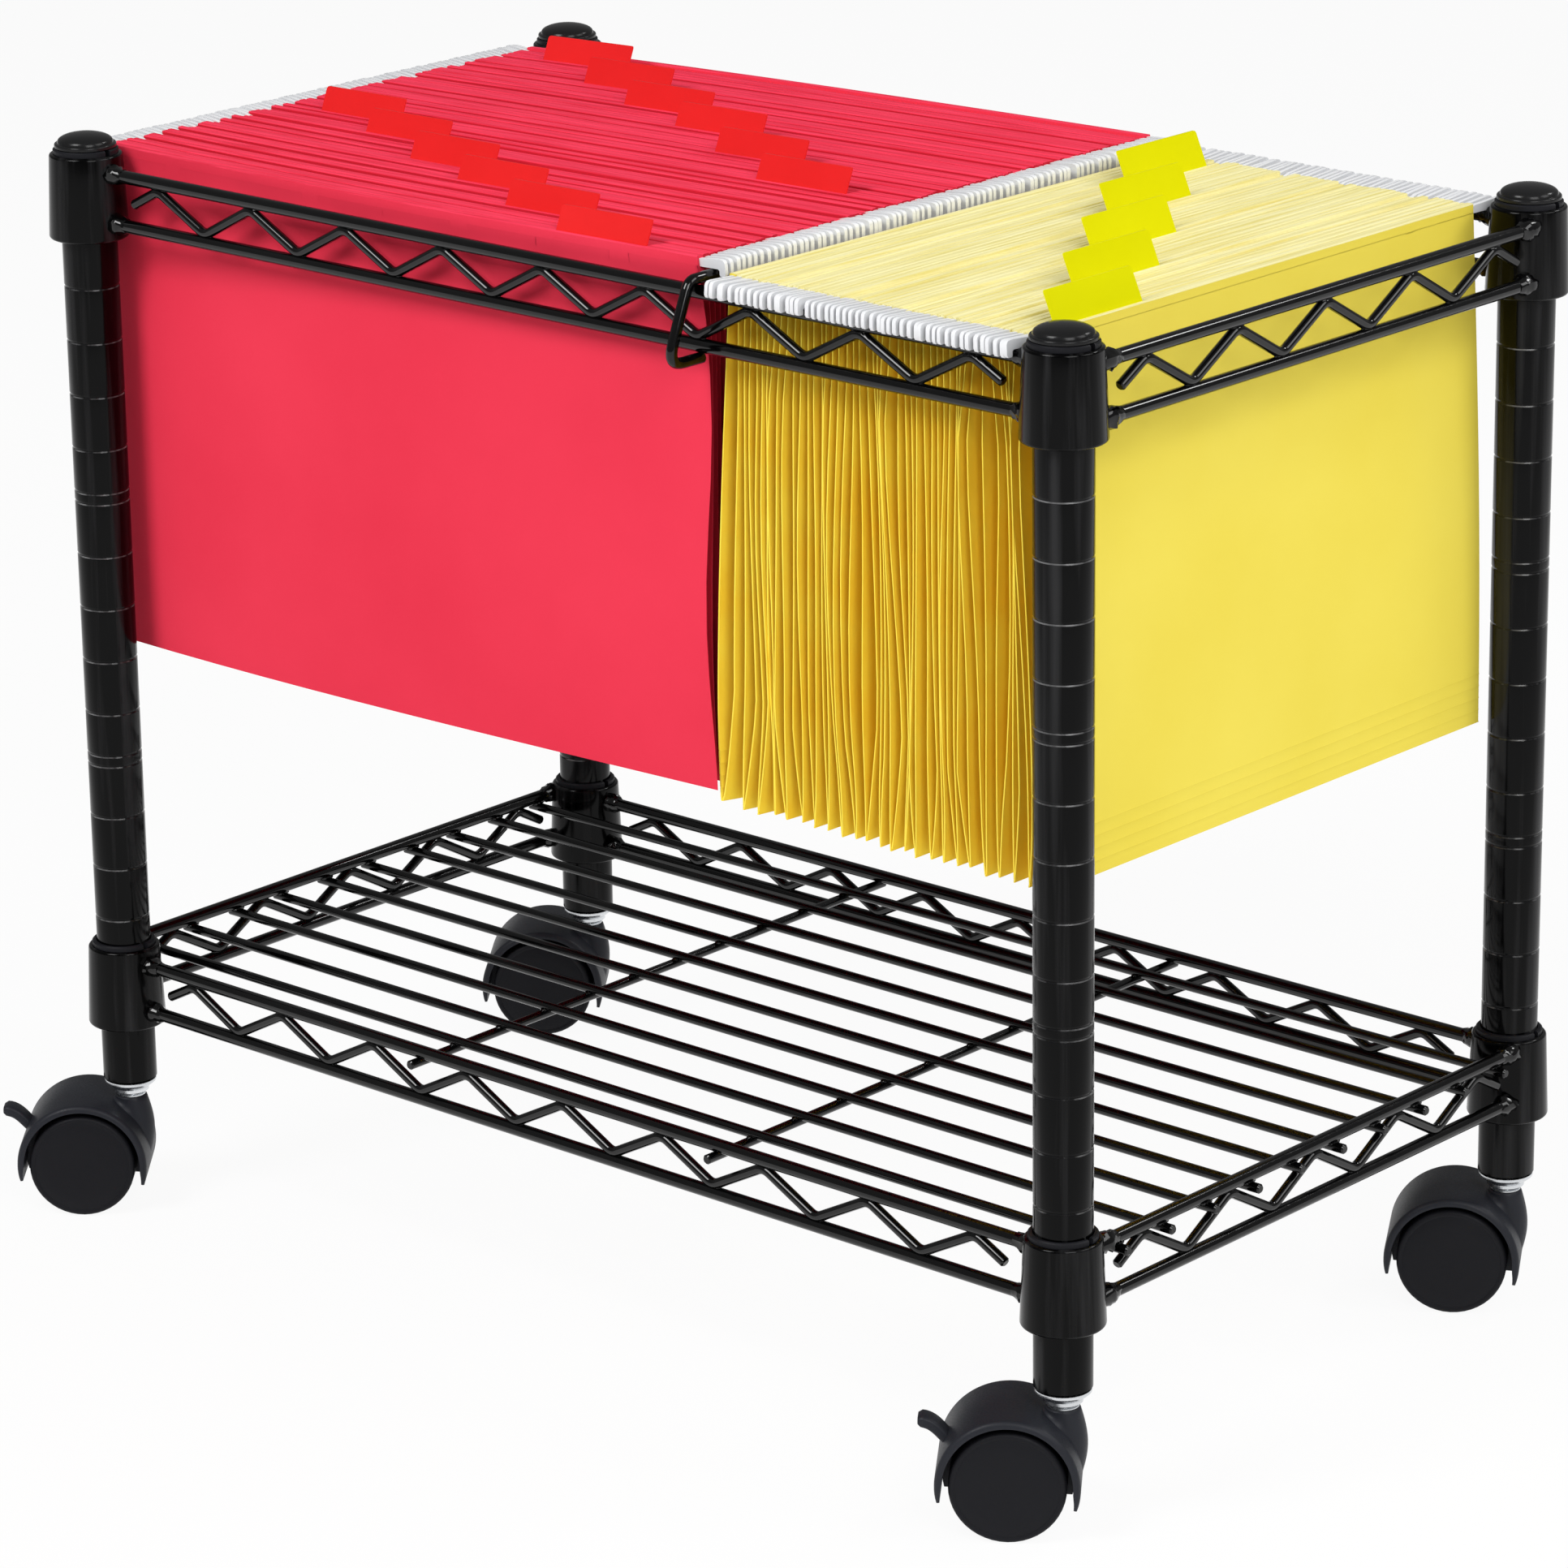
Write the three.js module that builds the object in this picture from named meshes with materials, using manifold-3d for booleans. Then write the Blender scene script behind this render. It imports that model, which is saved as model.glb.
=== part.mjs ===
// Mobile file cart: a wire file frame above a wire shelf, clipped to four grooved posts on twin-wheel
// casters, with a divider bar across the frame and two packs of hanging folders.
import * as THREE from 'three';
import { mergeVertices } from 'three/addons/utils/BufferGeometryUtils.js';
import Module from 'manifold-3d';

const wasm = await Module();
wasm.setup();

// Driving dimensions in millimetres: X runs along the cart, Y from front to back, Z up from the floor
const postSpacingLong = 573;
const postSpacingDeep = 318;
const postDiameter = 25.4;
const postWall = 1.2;
const socketDepth = 30;
const grooveCount = 17;
const groovePitch = 25.4;
const grooveDepth = 0.7;
const grooveWidth = 1.8;
const lowestGrooveRise = 31.5;

// Which groove, counted from the foot, the shelf is clipped to; the file frame takes the top one
const shelfGroove = 1;

// Collars, and the tapered split sleeves that wedge inside them
const collarHeight = 39.3;
const collarTopDiameter = 33.7;
const collarFootDiameter = 36.6;
const collarTopWall = 1.5;
const collarFootWall = 1.9;
const collarTopChamfer = 1;
const collarFootChamfer = 3;
const collarTopRise = 10.6;
const sleeveRise = 2.4;
const sleeveFootInset = 1.5;
const sleeveSlit = 2.5;

// Post caps
const capHeight = 6.4;
const capBaseDiameter = 28.4;
const capBand = 2.2;
const capShoulderDiameter = 26.2;
const capShoulderDrop = 1.7;
const capCrownDiameter = 21;
const capPlugLength = 15;

// Wire trusses along the sides and ends
const railDiameter = 5.8;
const zigzagDiameter = 4.2;
const longZigzagWaves = 8;
const endZigzagWaves = 4;
const longStubRoom = 12.7;
const endStubRoom = 4.6;
const zigzagCrest = 4;
const stubShare = 0.56;
const longTrussDepth = 22.8;
const endTrussDepth = 24;
const longRailRise = 2.4;
const fileEndRailRise = 3.2;
const endTrussOffset = 10;
const weldSink = 1;

// Shelf wires
const deckWireDiameter = 4.5;
const deckWires = 10;
const deckSideRoom = 24;
const crossWireSpacing = 182;
const wireTipOverhang = 3;

// Divider bar
const dividerPlace = 90;
const dividerDiameter = 5;
const dividerBulge = 14;
const dividerReturn = 22;
const dividerBendRadius = 5.5;

// Casters
const wheelDiameter = 50;
const wheelWidth = 16;
const wheelChamfer = 1.2;
const wheelCoverThickness = 1.7;
const wheelRecess = 1.1;
const hoodWall = 3.2;
const wheelWellGap = 2.6;
const webWall = 1;
const hoodTrailTip = -14;
const hoodStemTip = 199;
const hoodHeadroom = 7.2;
const casterTrail = 22.5;
const stemDiameter = 10;
const stemLength = 28;
const flangeThickness = 1.3;
const flangeDish = 1.9;
const flangeInset = 0.5;
const neckDiameter = 11;
const neckLength = 5;
const pivotDiameter = 9.2;
const pivotLength = 20;
const bossDiameter = 15;
const bossLength = 22;
const axleDiameter = 6;
const casterTurn = { front_left: 221, front_right: 217, back_left: 218, back_right: 212 };

// Brake levers: the pivot lies inside the hood's edge, at an angle above the level of the axle
const brakePivotInset = 10;
const brakePivotAngle = 30;
const brakeBossDiameter = 8;
const leverReach = 20.5;
const leverRise = 11.5;
const leverBend = 0.5;
const leverThickness = 5;
const leverSlotAbove = 55;
const leverSlotBelow = 48;

// Hanging folders
const folderHeight = 233;
const redFolderCount = 38;
const yellowFolderCount = 24;
const redLeftInset = 4.5;
const redRightInset = 6.8;
const redFrontInset = 7;
const yellowLeftInset = 10;
const yellowSideInset = 9.8;
const foldDepth = 12;
const hemHeight = 8;
const hemGap = 1;
const hookCrown = 4.3;
const hookReach = 3.2;
const hookDrop = 2.6;
const hookRoot = 3.4;
const hookPlate = 1;
const hookSideGap = 1.3;
const pocketShare = 0.5;
const pocketDepth = 12;
const tabHeight = 9.2;
const tabSink = 3;
const tabThickness = 1.2;
const tabLean = 32;
const redTabWidth = 48;
const redTabPitch = 53.4;
const redTabInset = 28;
const redTabsPerRow = 6;
const redTabRows = 2;
const redTabFirst = 36;
const redTabLast = 0;
const yellowTabWidth = 50;
const yellowTabPitch = 56.6;
const yellowTabInset = 6;
const yellowTabs = 5;
const yellowTabFirst = 21;
const yellowTabLast = 1;

// Clearances
const seatGap = 0.3;
const slideGap = 0.3;
const capClearance = 0.1;
const packGap = 0.6;

// Facets round each kind of piece
const postFacets = 8;
const wireFacets = 6;
const zigzagFacets = 5;
const wheelFacets = 20;
const pinFacets = 10;
const hoodFacets = 16;
const dividerBendSteps = 2;
const leverSteps = 6;

const postRadius = postDiameter / 2;
const railRadius = railDiameter / 2;
const zigzagRadius = zigzagDiameter / 2;
const deckWireRadius = deckWireDiameter / 2;
const dividerRadius = dividerDiameter / 2;
const wheelRadius = wheelDiameter / 2;
const hoodInner = wheelRadius + wheelWellGap;
const hoodOuter = hoodInner + hoodWall;
const webThickness = pivotDiameter + 2 * webWall;
const hoodWidth = webThickness + 2 * (slideGap + wheelWidth + wheelRecess);
const postFootHeight = wheelRadius + hoodOuter + hoodHeadroom;
const fileFrameGroove = grooveCount - 1;
const endTrussX = postSpacingLong / 2 + endTrussOffset;
const longTrussY = postSpacingDeep / 2;

const grooveHeight = (index) => postFootHeight + lowestGrooveRise + index * groovePitch;
const postTop = grooveHeight(fileFrameGroove) + collarTopRise + sleeveRise + capClearance;

const coat = () => new THREE.MeshStandardMaterial({ color: 0x17181a, roughness: 0.3, metalness: 0.4 });
const plastic = () => new THREE.MeshStandardMaterial({ color: 0x1f2022, roughness: 0.65, metalness: 0 });
const zinc = () => new THREE.MeshStandardMaterial({ color: 0xc9ced2, roughness: 0.3, metalness: 0.9 });
const redCard = () => new THREE.MeshStandardMaterial({ color: 0xee3f59, roughness: 0.85, metalness: 0 });
const yellowCard = () => new THREE.MeshStandardMaterial({ color: 0xf3dc5c, roughness: 0.85, metalness: 0 });

// Turns a three.js geometry into a closed solid that faces outwards
function solidOf(geometry) {
  const bare = geometry.clone();
  bare.deleteAttribute('normal');
  bare.deleteAttribute('uv');
  const merged = mergeVertices(bare, 1e-4);
  const place = merged.attributes.position;
  const corner = [new THREE.Vector3(), new THREE.Vector3(), new THREE.Vector3()];
  const triangles = [];
  let volume = 0;
  for (let i = 0; i < merged.index.count; i += 3) {
    const ids = [0, 1, 2].map((k) => merged.index.getX(i + k));
    if (new Set(ids).size < 3) continue;
    triangles.push(ids);
    ids.forEach((id, k) => corner[k].fromBufferAttribute(place, id));
    volume += corner[0].dot(corner[1].cross(corner[2]));
  }
  if (volume < 0) triangles.forEach((ids) => ids.reverse());
  return new wasm.Manifold(new wasm.Mesh({
    numProp: 3,
    vertProperties: new Float32Array(place.array),
    triVerts: new Uint32Array(triangles.flat()),
  }));
}

// Gives a solid back as a three.js geometry
function geometryOf(solid) {
  const mesh = solid.getMesh();
  const geometry = new THREE.BufferGeometry();
  geometry.setAttribute('position', new THREE.BufferAttribute(new Float32Array(mesh.vertProperties), 3));
  geometry.setIndex(new THREE.BufferAttribute(new Uint32Array(mesh.triVerts), 1));
  geometry.computeVertexNormals();
  return geometry;
}

const join = (solids) => solids.reduce((whole, next) => whole.add(next));
const cut = (solid, tools) => tools.reduce((left, tool) => left.subtract(tool), solid);

// A solid of revolution about Z from an outline of [radius, height] points
function revolve(outline, facets) {
  const points = outline.map(([radius, height]) => new THREE.Vector2(radius, height));
  return solidOf(new THREE.LatheGeometry(points, facets).rotateX(Math.PI / 2));
}

// A radius whose flats, not its corners, lie on the given circle
const flatsOn = (radius, facets) => radius / Math.cos(Math.PI / facets);

// A straight round rod between two points
function rod(from, to, radius, facets) {
  const along = new THREE.Vector3().subVectors(to, from);
  const geometry = new THREE.CylinderGeometry(radius, radius, along.length(), facets);
  const turn = new THREE.Quaternion().setFromUnitVectors(new THREE.Vector3(0, 1, 0), along.clone().normalize());
  geometry.applyQuaternion(turn);
  const middle = new THREE.Vector3().addVectors(from, to).multiplyScalar(0.5);
  return solidOf(geometry.translate(middle.x, middle.y, middle.z));
}

// A path that passes through its points in equal steps, for sweeping bent wire
class WirePath extends THREE.Curve {
  constructor(points) {
    super();
    this.points = points;
  }

  getPoint(t) {
    const place = t * (this.points.length - 1);
    const index = Math.min(Math.floor(place), this.points.length - 2);
    return new THREE.Vector3().lerpVectors(this.points[index], this.points[index + 1], place - index);
  }

  getPointAt(u) {
    return this.getPoint(u);
  }

  getTangentAt(u) {
    return this.getTangent(u);
  }

  getSpacedPoints(steps) {
    return this.getPoints(steps);
  }
}

// Rounds every inner corner of a line of points with a bend of the given radius
function bendCorners(corners, radius, steps) {
  const points = [corners[0]];
  for (let i = 1; i < corners.length - 1; i += 1) {
    const back = new THREE.Vector3().subVectors(corners[i - 1], corners[i]).normalize();
    const on = new THREE.Vector3().subVectors(corners[i + 1], corners[i]).normalize();
    const setback = radius / Math.tan(back.angleTo(on) / 2);
    const start = corners[i].clone().addScaledVector(back, setback);
    const end = corners[i].clone().addScaledVector(on, setback);
    points.push(...new THREE.QuadraticBezierCurve3(start, corners[i], end).getPoints(steps));
  }
  points.push(corners[corners.length - 1]);
  return points;
}

// A wire of round section swept through the given points
function sweptWire(points, wireRadius, facets) {
  const section = Array.from({ length: facets }, (_, index) => {
    const angle = (2 * Math.PI * index) / facets;
    return [wireRadius * Math.cos(angle), wireRadius * Math.sin(angle)];
  });
  return solidOf(new THREE.ExtrudeGeometry(shapeOf(section), {
    steps: points.length - 1,
    extrudePath: new WirePath(points),
  }));
}

// A prism of an outline drawn in X and Z, centred on Y = middle
function prismAcrossY(shape, width, middle = 0) {
  const geometry = new THREE.ExtrudeGeometry(shape, { depth: width, bevelEnabled: false });
  return solidOf(geometry.rotateX(Math.PI / 2).translate(0, middle + width / 2, 0));
}

// A prism of an outline drawn in Y and Z, centred on X = middle
function acrossX(shape, width, middle) {
  const geometry = new THREE.ExtrudeGeometry(shape, { depth: width, bevelEnabled: false });
  return geometry.rotateX(Math.PI / 2).rotateZ(Math.PI / 2).translate(middle - width / 2, 0, 0);
}

const prismAcrossX = (shape, width, middle) => solidOf(acrossX(shape, width, middle));

const shapeOf = (points) => new THREE.Shape(points.map(([across, up]) => new THREE.Vector2(across, up)));

const cart = new THREE.Group();

function addPart(name, solid, material, parent = cart) {
  const mesh = new THREE.Mesh(geometryOf(solid), material);
  mesh.name = name;
  parent.add(mesh);
  return mesh;
}

const corners = [
  { name: 'front_left', x: -postSpacingLong / 2, y: -postSpacingDeep / 2, braked: true },
  { name: 'front_right', x: postSpacingLong / 2, y: -postSpacingDeep / 2, braked: true },
  { name: 'back_left', x: -postSpacingLong / 2, y: postSpacingDeep / 2, braked: false },
  { name: 'back_right', x: postSpacingLong / 2, y: postSpacingDeep / 2, braked: false },
];

function addAtCorners(prefix, solid, material) {
  for (const { name, x, y } of corners) addPart(`${prefix}_${name}`, solid.translate([x, y, 0]), material());
}

// Posts: grooved tubes whose foot holds the threaded socket for the caster stem
function postSolid() {
  const stemBore = flatsOn(stemDiameter / 2 + slideGap, postFacets);
  const bore = postRadius - postWall;
  const outline = [[stemBore, postFootHeight], [postRadius, postFootHeight]];
  for (let index = 0; index < grooveCount; index += 1) {
    const middle = grooveHeight(index);
    outline.push([postRadius, middle - grooveWidth / 2], [postRadius - grooveDepth, middle]);
    outline.push([postRadius, middle + grooveWidth / 2]);
  }
  outline.push([postRadius, postTop], [bore, postTop], [bore, postFootHeight + socketDepth]);
  outline.push([stemBore, postFootHeight + socketDepth], [stemBore, postFootHeight]);
  return revolve(outline, postFacets);
}

addAtCorners('post', postSolid(), coat);

// Caps: a domed head on a plug that fills the top of the tube
function capSolid() {
  const seat = postTop + seatGap;
  const plug = postRadius - postWall - slideGap;
  const base = capBaseDiameter / 2;
  const shoulder = capShoulderDiameter / 2;
  const top = seat + capHeight;
  return revolve([
    [0, seat - capPlugLength], [plug, seat - capPlugLength], [plug, seat], [base, seat], [base, seat + capBand],
    [shoulder, top - capShoulderDrop], [capCrownDiameter / 2, top], [0, top],
  ], postFacets);
}

addAtCorners('cap', capSolid(), plastic);

// Collars: tapered cups that the wires are welded to
const collarTop = (groove) => grooveHeight(groove) + collarTopRise;
const collarFoot = (groove) => collarTop(groove) - collarHeight;
const collarTopRadius = collarTopDiameter / 2;
const collarFootRadius = collarFootDiameter / 2;
const collarTopBore = collarTopRadius - collarTopWall;
const collarFootBore = collarFootRadius - collarFootWall;

function collarSolid(groove) {
  const top = collarTop(groove);
  const foot = collarFoot(groove);
  return revolve([
    [collarFootBore, foot], [collarFootRadius - collarFootChamfer / 2, foot],
    [collarFootRadius, foot + collarFootChamfer], [collarTopRadius, top - collarTopChamfer],
    [collarTopRadius - collarTopChamfer, top], [collarTopBore, top], [collarFootBore, foot],
  ], postFacets);
}

// The space round a collar that welded wires stop short of
function collarReach(groove) {
  const foot = collarFoot(groove);
  const top = collarTop(groove);
  return revolve([
    [0, foot], [collarFootRadius + seatGap, foot], [collarTopRadius + seatGap, top], [0, top],
  ], postFacets);
}

// Split sleeves: a taper outside, and inside a rib that snaps into the post's groove
function sleeveSolid(groove) {
  const inner = postRadius + slideGap;
  const rib = postRadius - grooveDepth + slideGap;
  const middle = grooveHeight(groove);
  const foot = collarFoot(groove) + sleeveFootInset;
  const top = collarTop(groove);
  const ring = revolve([
    [inner, foot], [collarFootBore - slideGap, foot], [collarTopBore - slideGap, top],
    [collarTopBore - slideGap, top + sleeveRise], [inner, top + sleeveRise],
    [inner, middle + grooveWidth / 2], [rib, middle], [inner, middle - grooveWidth / 2], [inner, foot],
  ], postFacets);
  const slit = new THREE.BoxGeometry(postDiameter, sleeveSlit, 2 * collarHeight).translate(postRadius, 0, top);
  return cut(ring, [solidOf(slit)]);
}

for (const [level, groove] of [['upper', fileFrameGroove], ['lower', shelfGroove]]) {
  addAtCorners(`${level}_collar`, collarSolid(groove), coat);
  addAtCorners(`${level}_sleeve`, sleeveSolid(groove), plastic);
}

// Trusses: two rails that end at the collars, with a zigzag wire welded in between
// `at` places a point given its distance along the truss and its height above the floor
function trussSolid({ at, halfLength, waves, stubRoom, topRail, depth, groove }) {
  const footRail = topRail - depth;
  const reach = railRadius + zigzagRadius - weldSink;
  const crest = topRail - reach;
  const valley = footRail + reach;
  const half = (halfLength - collarFootRadius - stubRoom) / (waves + stubShare);
  const stub = half * stubShare;
  const lastTop = waves * half;
  const stubHeight = crest - (crest - valley) * stubShare;
  const zigzag = [at(-lastTop - stub, stubHeight)];
  for (let step = 0; step <= 2 * waves; step += 1) {
    const middle = -lastTop + step * half;
    const height = step % 2 === 0 ? crest : valley;
    zigzag.push(at(middle - zigzagCrest / 2, height), at(middle + zigzagCrest / 2, height));
  }
  zigzag.push(at(lastTop + stub, stubHeight));
  const pieces = [sweptWire(zigzag, flatsOn(zigzagRadius, zigzagFacets), zigzagFacets)];
  for (const rail of [topRail, footRail]) {
    pieces.push(rod(at(-halfLength, rail), at(halfLength, rail), railRadius, wireFacets));
  }
  const stops = corners.map(({ x, y }) => collarReach(groove).translate([x, y, 0]));
  return cut(join(pieces), stops);
}

function addTrusses(level, groove, longRail, endRail) {
  for (const [name, side] of [['front', -1], ['back', 1]]) {
    addPart(`${level}_${name}_truss`, trussSolid({
      at: (along, height) => new THREE.Vector3(along, side * longTrussY, height),
      halfLength: postSpacingLong / 2,
      waves: longZigzagWaves,
      stubRoom: longStubRoom,
      topRail: longRail,
      depth: longTrussDepth,
      groove,
    }), coat());
  }
  for (const [name, side] of [['left', -1], ['right', 1]]) {
    addPart(`${level}_${name}_truss`, trussSolid({
      at: (along, height) => new THREE.Vector3(side * endTrussX, along, height),
      halfLength: postSpacingDeep / 2,
      waves: endZigzagWaves,
      stubRoom: endStubRoom,
      topRail: endRail,
      depth: endTrussDepth,
      groove,
    }), coat());
  }
}

// The shelf's wires stack up: cross wires under the long rails, deck wires on those, end rails on top
const shelfLongRail = grooveHeight(shelfGroove) + longRailRise;
const crossWireHeight = shelfLongRail - railRadius - seatGap - deckWireRadius;
const deckWireHeight = crossWireHeight + deckWireDiameter - weldSink;
const shelfEndRail = deckWireHeight + deckWireRadius + seatGap + railRadius;
const fileLongRail = grooveHeight(fileFrameGroove) + longRailRise;
const fileEndRail = grooveHeight(fileFrameGroove) + fileEndRailRise;

addTrusses('upper', fileFrameGroove, fileLongRail, fileEndRail);
addTrusses('lower', shelfGroove, shelfLongRail, shelfEndRail);

function deckSolid() {
  const tipX = endTrussX + railRadius + wireTipOverhang;
  const tipY = longTrussY + railRadius + wireTipOverhang;
  const outerWire = postSpacingDeep / 2 - deckSideRoom;
  const wires = [];
  for (let index = 0; index < deckWires; index += 1) {
    const y = THREE.MathUtils.mapLinear(index, 0, deckWires - 1, -outerWire, outerWire);
    const ends = [-tipX, tipX].map((x) => new THREE.Vector3(x, y, deckWireHeight));
    wires.push(rod(ends[0], ends[1], deckWireRadius, wireFacets));
  }
  for (const x of [-crossWireSpacing / 2, crossWireSpacing / 2]) {
    const ends = [-tipY, tipY].map((y) => new THREE.Vector3(x, y, crossWireHeight));
    wires.push(rod(ends[0], ends[1], deckWireRadius, wireFacets));
  }
  return join(wires);
}

addPart('shelf_wires', deckSolid(), coat());

// Divider bar: a rod over both long rails, with bowed hooks that close under the rails below
const dividerHeight = fileLongRail + railRadius + seatGap + dividerRadius;

function dividerSolid() {
  const hookTop = longTrussY + railRadius + dividerRadius + slideGap;
  const hookFoot = fileLongRail - longTrussDepth - railRadius - seatGap - dividerRadius;
  const half = (side) => [
    [side * (hookTop + dividerBulge - dividerReturn), hookFoot],
    [side * (hookTop + dividerBulge), hookFoot],
    [side * hookTop, dividerHeight],
  ].map(([y, z]) => new THREE.Vector3(dividerPlace, y, z));
  const line = [...half(-1), ...half(1).reverse()];
  return sweptWire(bendCorners(line, dividerBendRadius, dividerBendSteps), dividerRadius, wireFacets);
}

addPart('divider_bar', dividerSolid(), coat());

// Casters, each built with its stem on the local Z axis and its wheels trailing along local +X
const flangeTop = postFootHeight - seatGap;
const neckTop = flangeTop - flangeThickness - flangeDish;
const bossTop = neckTop - neckLength - seatGap;
const pivotFoot = bossTop - pivotLength;

function stemSolid() {
  const stem = stemDiameter / 2;
  const neck = neckDiameter / 2;
  const pivot = pivotDiameter / 2;
  const flange = postRadius - flangeInset;
  return revolve([
    [0, pivotFoot + seatGap], [pivot, pivotFoot + seatGap], [pivot, bossTop + seatGap],
    [neck, bossTop + seatGap], [neck, neckTop], [flange, flangeTop - flangeThickness], [flange, flangeTop],
    [stem, flangeTop], [stem, flangeTop + stemLength], [0, flangeTop + stemLength],
  ], postFacets);
}

const turned = (degrees) => THREE.MathUtils.degToRad(degrees);
const wheelCentre = new THREE.Vector3(casterTrail, 0, wheelRadius);
const brakePivotReach = hoodOuter - brakePivotInset;
const brakePivot = [
  casterTrail + brakePivotReach * Math.cos(turned(brakePivotAngle)),
  wheelRadius + brakePivotReach * Math.sin(turned(brakePivotAngle)),
];

// A pin or bore along the axle direction, centred on the caster's middle plane
function crossPin([x, z], radius, length) {
  return rod(new THREE.Vector3(x, -length / 2, z), new THREE.Vector3(x, length / 2, z), radius, pinFacets);
}

function hoodSolid(braked) {
  const outline = Array.from({ length: hoodFacets + 1 }, (_, index) => {
    const angle = turned(hoodTrailTip + ((hoodStemTip - hoodTrailTip) * index) / hoodFacets);
    return [casterTrail + hoodOuter * Math.cos(angle), wheelRadius + hoodOuter * Math.sin(angle)];
  });
  const bossFoot = bossTop - bossLength;
  const boss = revolve([
    [0, bossFoot], [bossDiameter / 2, bossFoot], [bossDiameter / 2, bossTop], [0, bossTop],
  ], pinFacets);
  const bore = flatsOn(pivotDiameter / 2 + slideGap, pinFacets);
  const pivotBore = revolve([[0, pivotFoot], [bore, pivotFoot], [bore, postTop], [0, postTop]], pinFacets);
  const wells = [-1, 1].map((side) => rod(
    new THREE.Vector3(casterTrail, side * (webThickness / 2), wheelRadius),
    new THREE.Vector3(casterTrail, side * hoodWidth, wheelRadius),
    hoodInner,
    hoodFacets,
  ));
  const axleHole = flatsOn(axleDiameter / 2 + slideGap, pinFacets);
  const axleBore = crossPin([casterTrail, wheelRadius], axleHole, hoodWidth);
  const tools = [...wells, pivotBore, axleBore];
  if (braked) tools.push(...brakeNotch());
  return cut(join([prismAcrossY(shapeOf(outline), hoodWidth), boss]), tools);
}

// The socket that holds the lever's boss, and the slot that the lever swings in
function brakeNotch() {
  const [x, z] = brakePivot;
  const corner = (degrees) => {
    const angle = turned(degrees);
    return [x + hoodOuter * Math.cos(angle), z + hoodOuter * Math.sin(angle)];
  };
  const width = webThickness + slideGap;
  const slot = prismAcrossY(shapeOf([[x, z], corner(-leverSlotBelow), corner(leverSlotAbove)]), width);
  return [slot, crossPin([x, z], flatsOn(brakeBossDiameter / 2 + slideGap, pinFacets), width)];
}

// A tongue of even thickness that leaves the boss level, bends up and flattens out again at its tip
function brakeSolid() {
  const width = webThickness - 2 * slideGap;
  const [x, z] = brakePivot;
  const bend = x + leverReach * leverBend;
  const middle = new THREE.CubicBezierCurve(
    new THREE.Vector2(x, z),
    new THREE.Vector2(bend, z),
    new THREE.Vector2(bend, z + leverRise),
    new THREE.Vector2(x + leverReach, z + leverRise),
  );
  const edge = (side) => middle.getPoints(leverSteps).map((point, index) => {
    const along = middle.getTangent(index / leverSteps).multiplyScalar((side * leverThickness) / 2);
    return [point.x - along.y, point.y + along.x];
  });
  const tongue = prismAcrossY(shapeOf([...edge(1), ...edge(-1).reverse()]), width);
  return join([tongue, crossPin(brakePivot, brakeBossDiameter / 2, width)]);
}

// A wheel turned about Z, closed on its outer face and bored from its inner one for the axle
function wheelSolid() {
  const tread = flatsOn(wheelRadius, wheelFacets);
  const bore = flatsOn(axleDiameter / 2 + slideGap, wheelFacets);
  const floor = wheelWidth - wheelCoverThickness;
  return revolve([
    [bore, 0], [tread, 0], [tread, wheelWidth - wheelChamfer], [tread - wheelChamfer, wheelWidth],
    [0, wheelWidth], [0, floor], [bore, floor], [bore, 0],
  ], wheelFacets).rotate([0, 0, 90 - 180 / wheelFacets]);
}

function addCaster({ name, x, y, braked }) {
  addPart(`caster_stem_${name}`, stemSolid().translate([x, y, 0]), zinc());
  const group = new THREE.Group();
  group.position.set(x, y, 0);
  group.rotation.z = turned(casterTurn[name]);
  cart.add(group);
  addPart(`caster_hood_${name}`, hoodSolid(braked), plastic(), group);
  const wheelInner = webThickness / 2 + slideGap;
  const axleLength = 2 * (wheelInner + wheelWidth - wheelCoverThickness - slideGap);
  const axle = crossPin([wheelCentre.x, wheelCentre.z], axleDiameter / 2, axleLength);
  addPart(`caster_axle_${name}`, axle, zinc(), group);
  for (const [side, tilt] of [['a', 90], ['b', -90]]) {
    const wheel = addPart(`caster_wheel_${name}_${side}`, wheelSolid(), plastic(), group);
    wheel.position.set(wheelCentre.x, Math.sign(-tilt) * wheelInner, wheelCentre.z);
    wheel.rotation.x = turned(tilt);
  }
  if (braked) addPart(`brake_lever_${name}`, brakeSolid(), plastic(), group);
}

corners.forEach(addCaster);

// Folder packs: a stack of folded cards whose hooks stand side by side over the rails
// For each folder the outline has one fold below and two hems above
function packOutline(from, to, count, top) {
  const pitch = (to - from) / count;
  const foot = top - folderHeight;
  const outline = [[from, foot + foldDepth]];
  for (let index = 0; index < count; index += 1) {
    outline.push([from + (index + 0.5) * pitch, foot], [from + (index + 1) * pitch, foot + foldDepth]);
  }
  const hem = pitch / 2;
  for (let right = to; right > from + hem / 2; right -= hem) {
    outline.push([right, top - hemHeight], [right - hemGap / 2, top], [right - hem + hemGap / 2, top]);
  }
  outline.push([from, top - hemHeight]);
  return shapeOf(outline);
}

// The folders' pockets where they open at one end of the pack, each a slot cut by the box that `slot` makes
function pocketSlots(from, to, count, top, slot) {
  const pitch = (to - from) / count;
  const foot = top - folderHeight + 2 * foldDepth;
  const head = top - hemHeight - 2 * hookRoot;
  const middle = (foot + head) / 2;
  const width = pocketShare * pitch;
  return Array.from({ length: count }, (_, index) => {
    return solidOf(slot(from + (index + 0.5) * pitch, width, head - foot, middle));
  });
}

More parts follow.
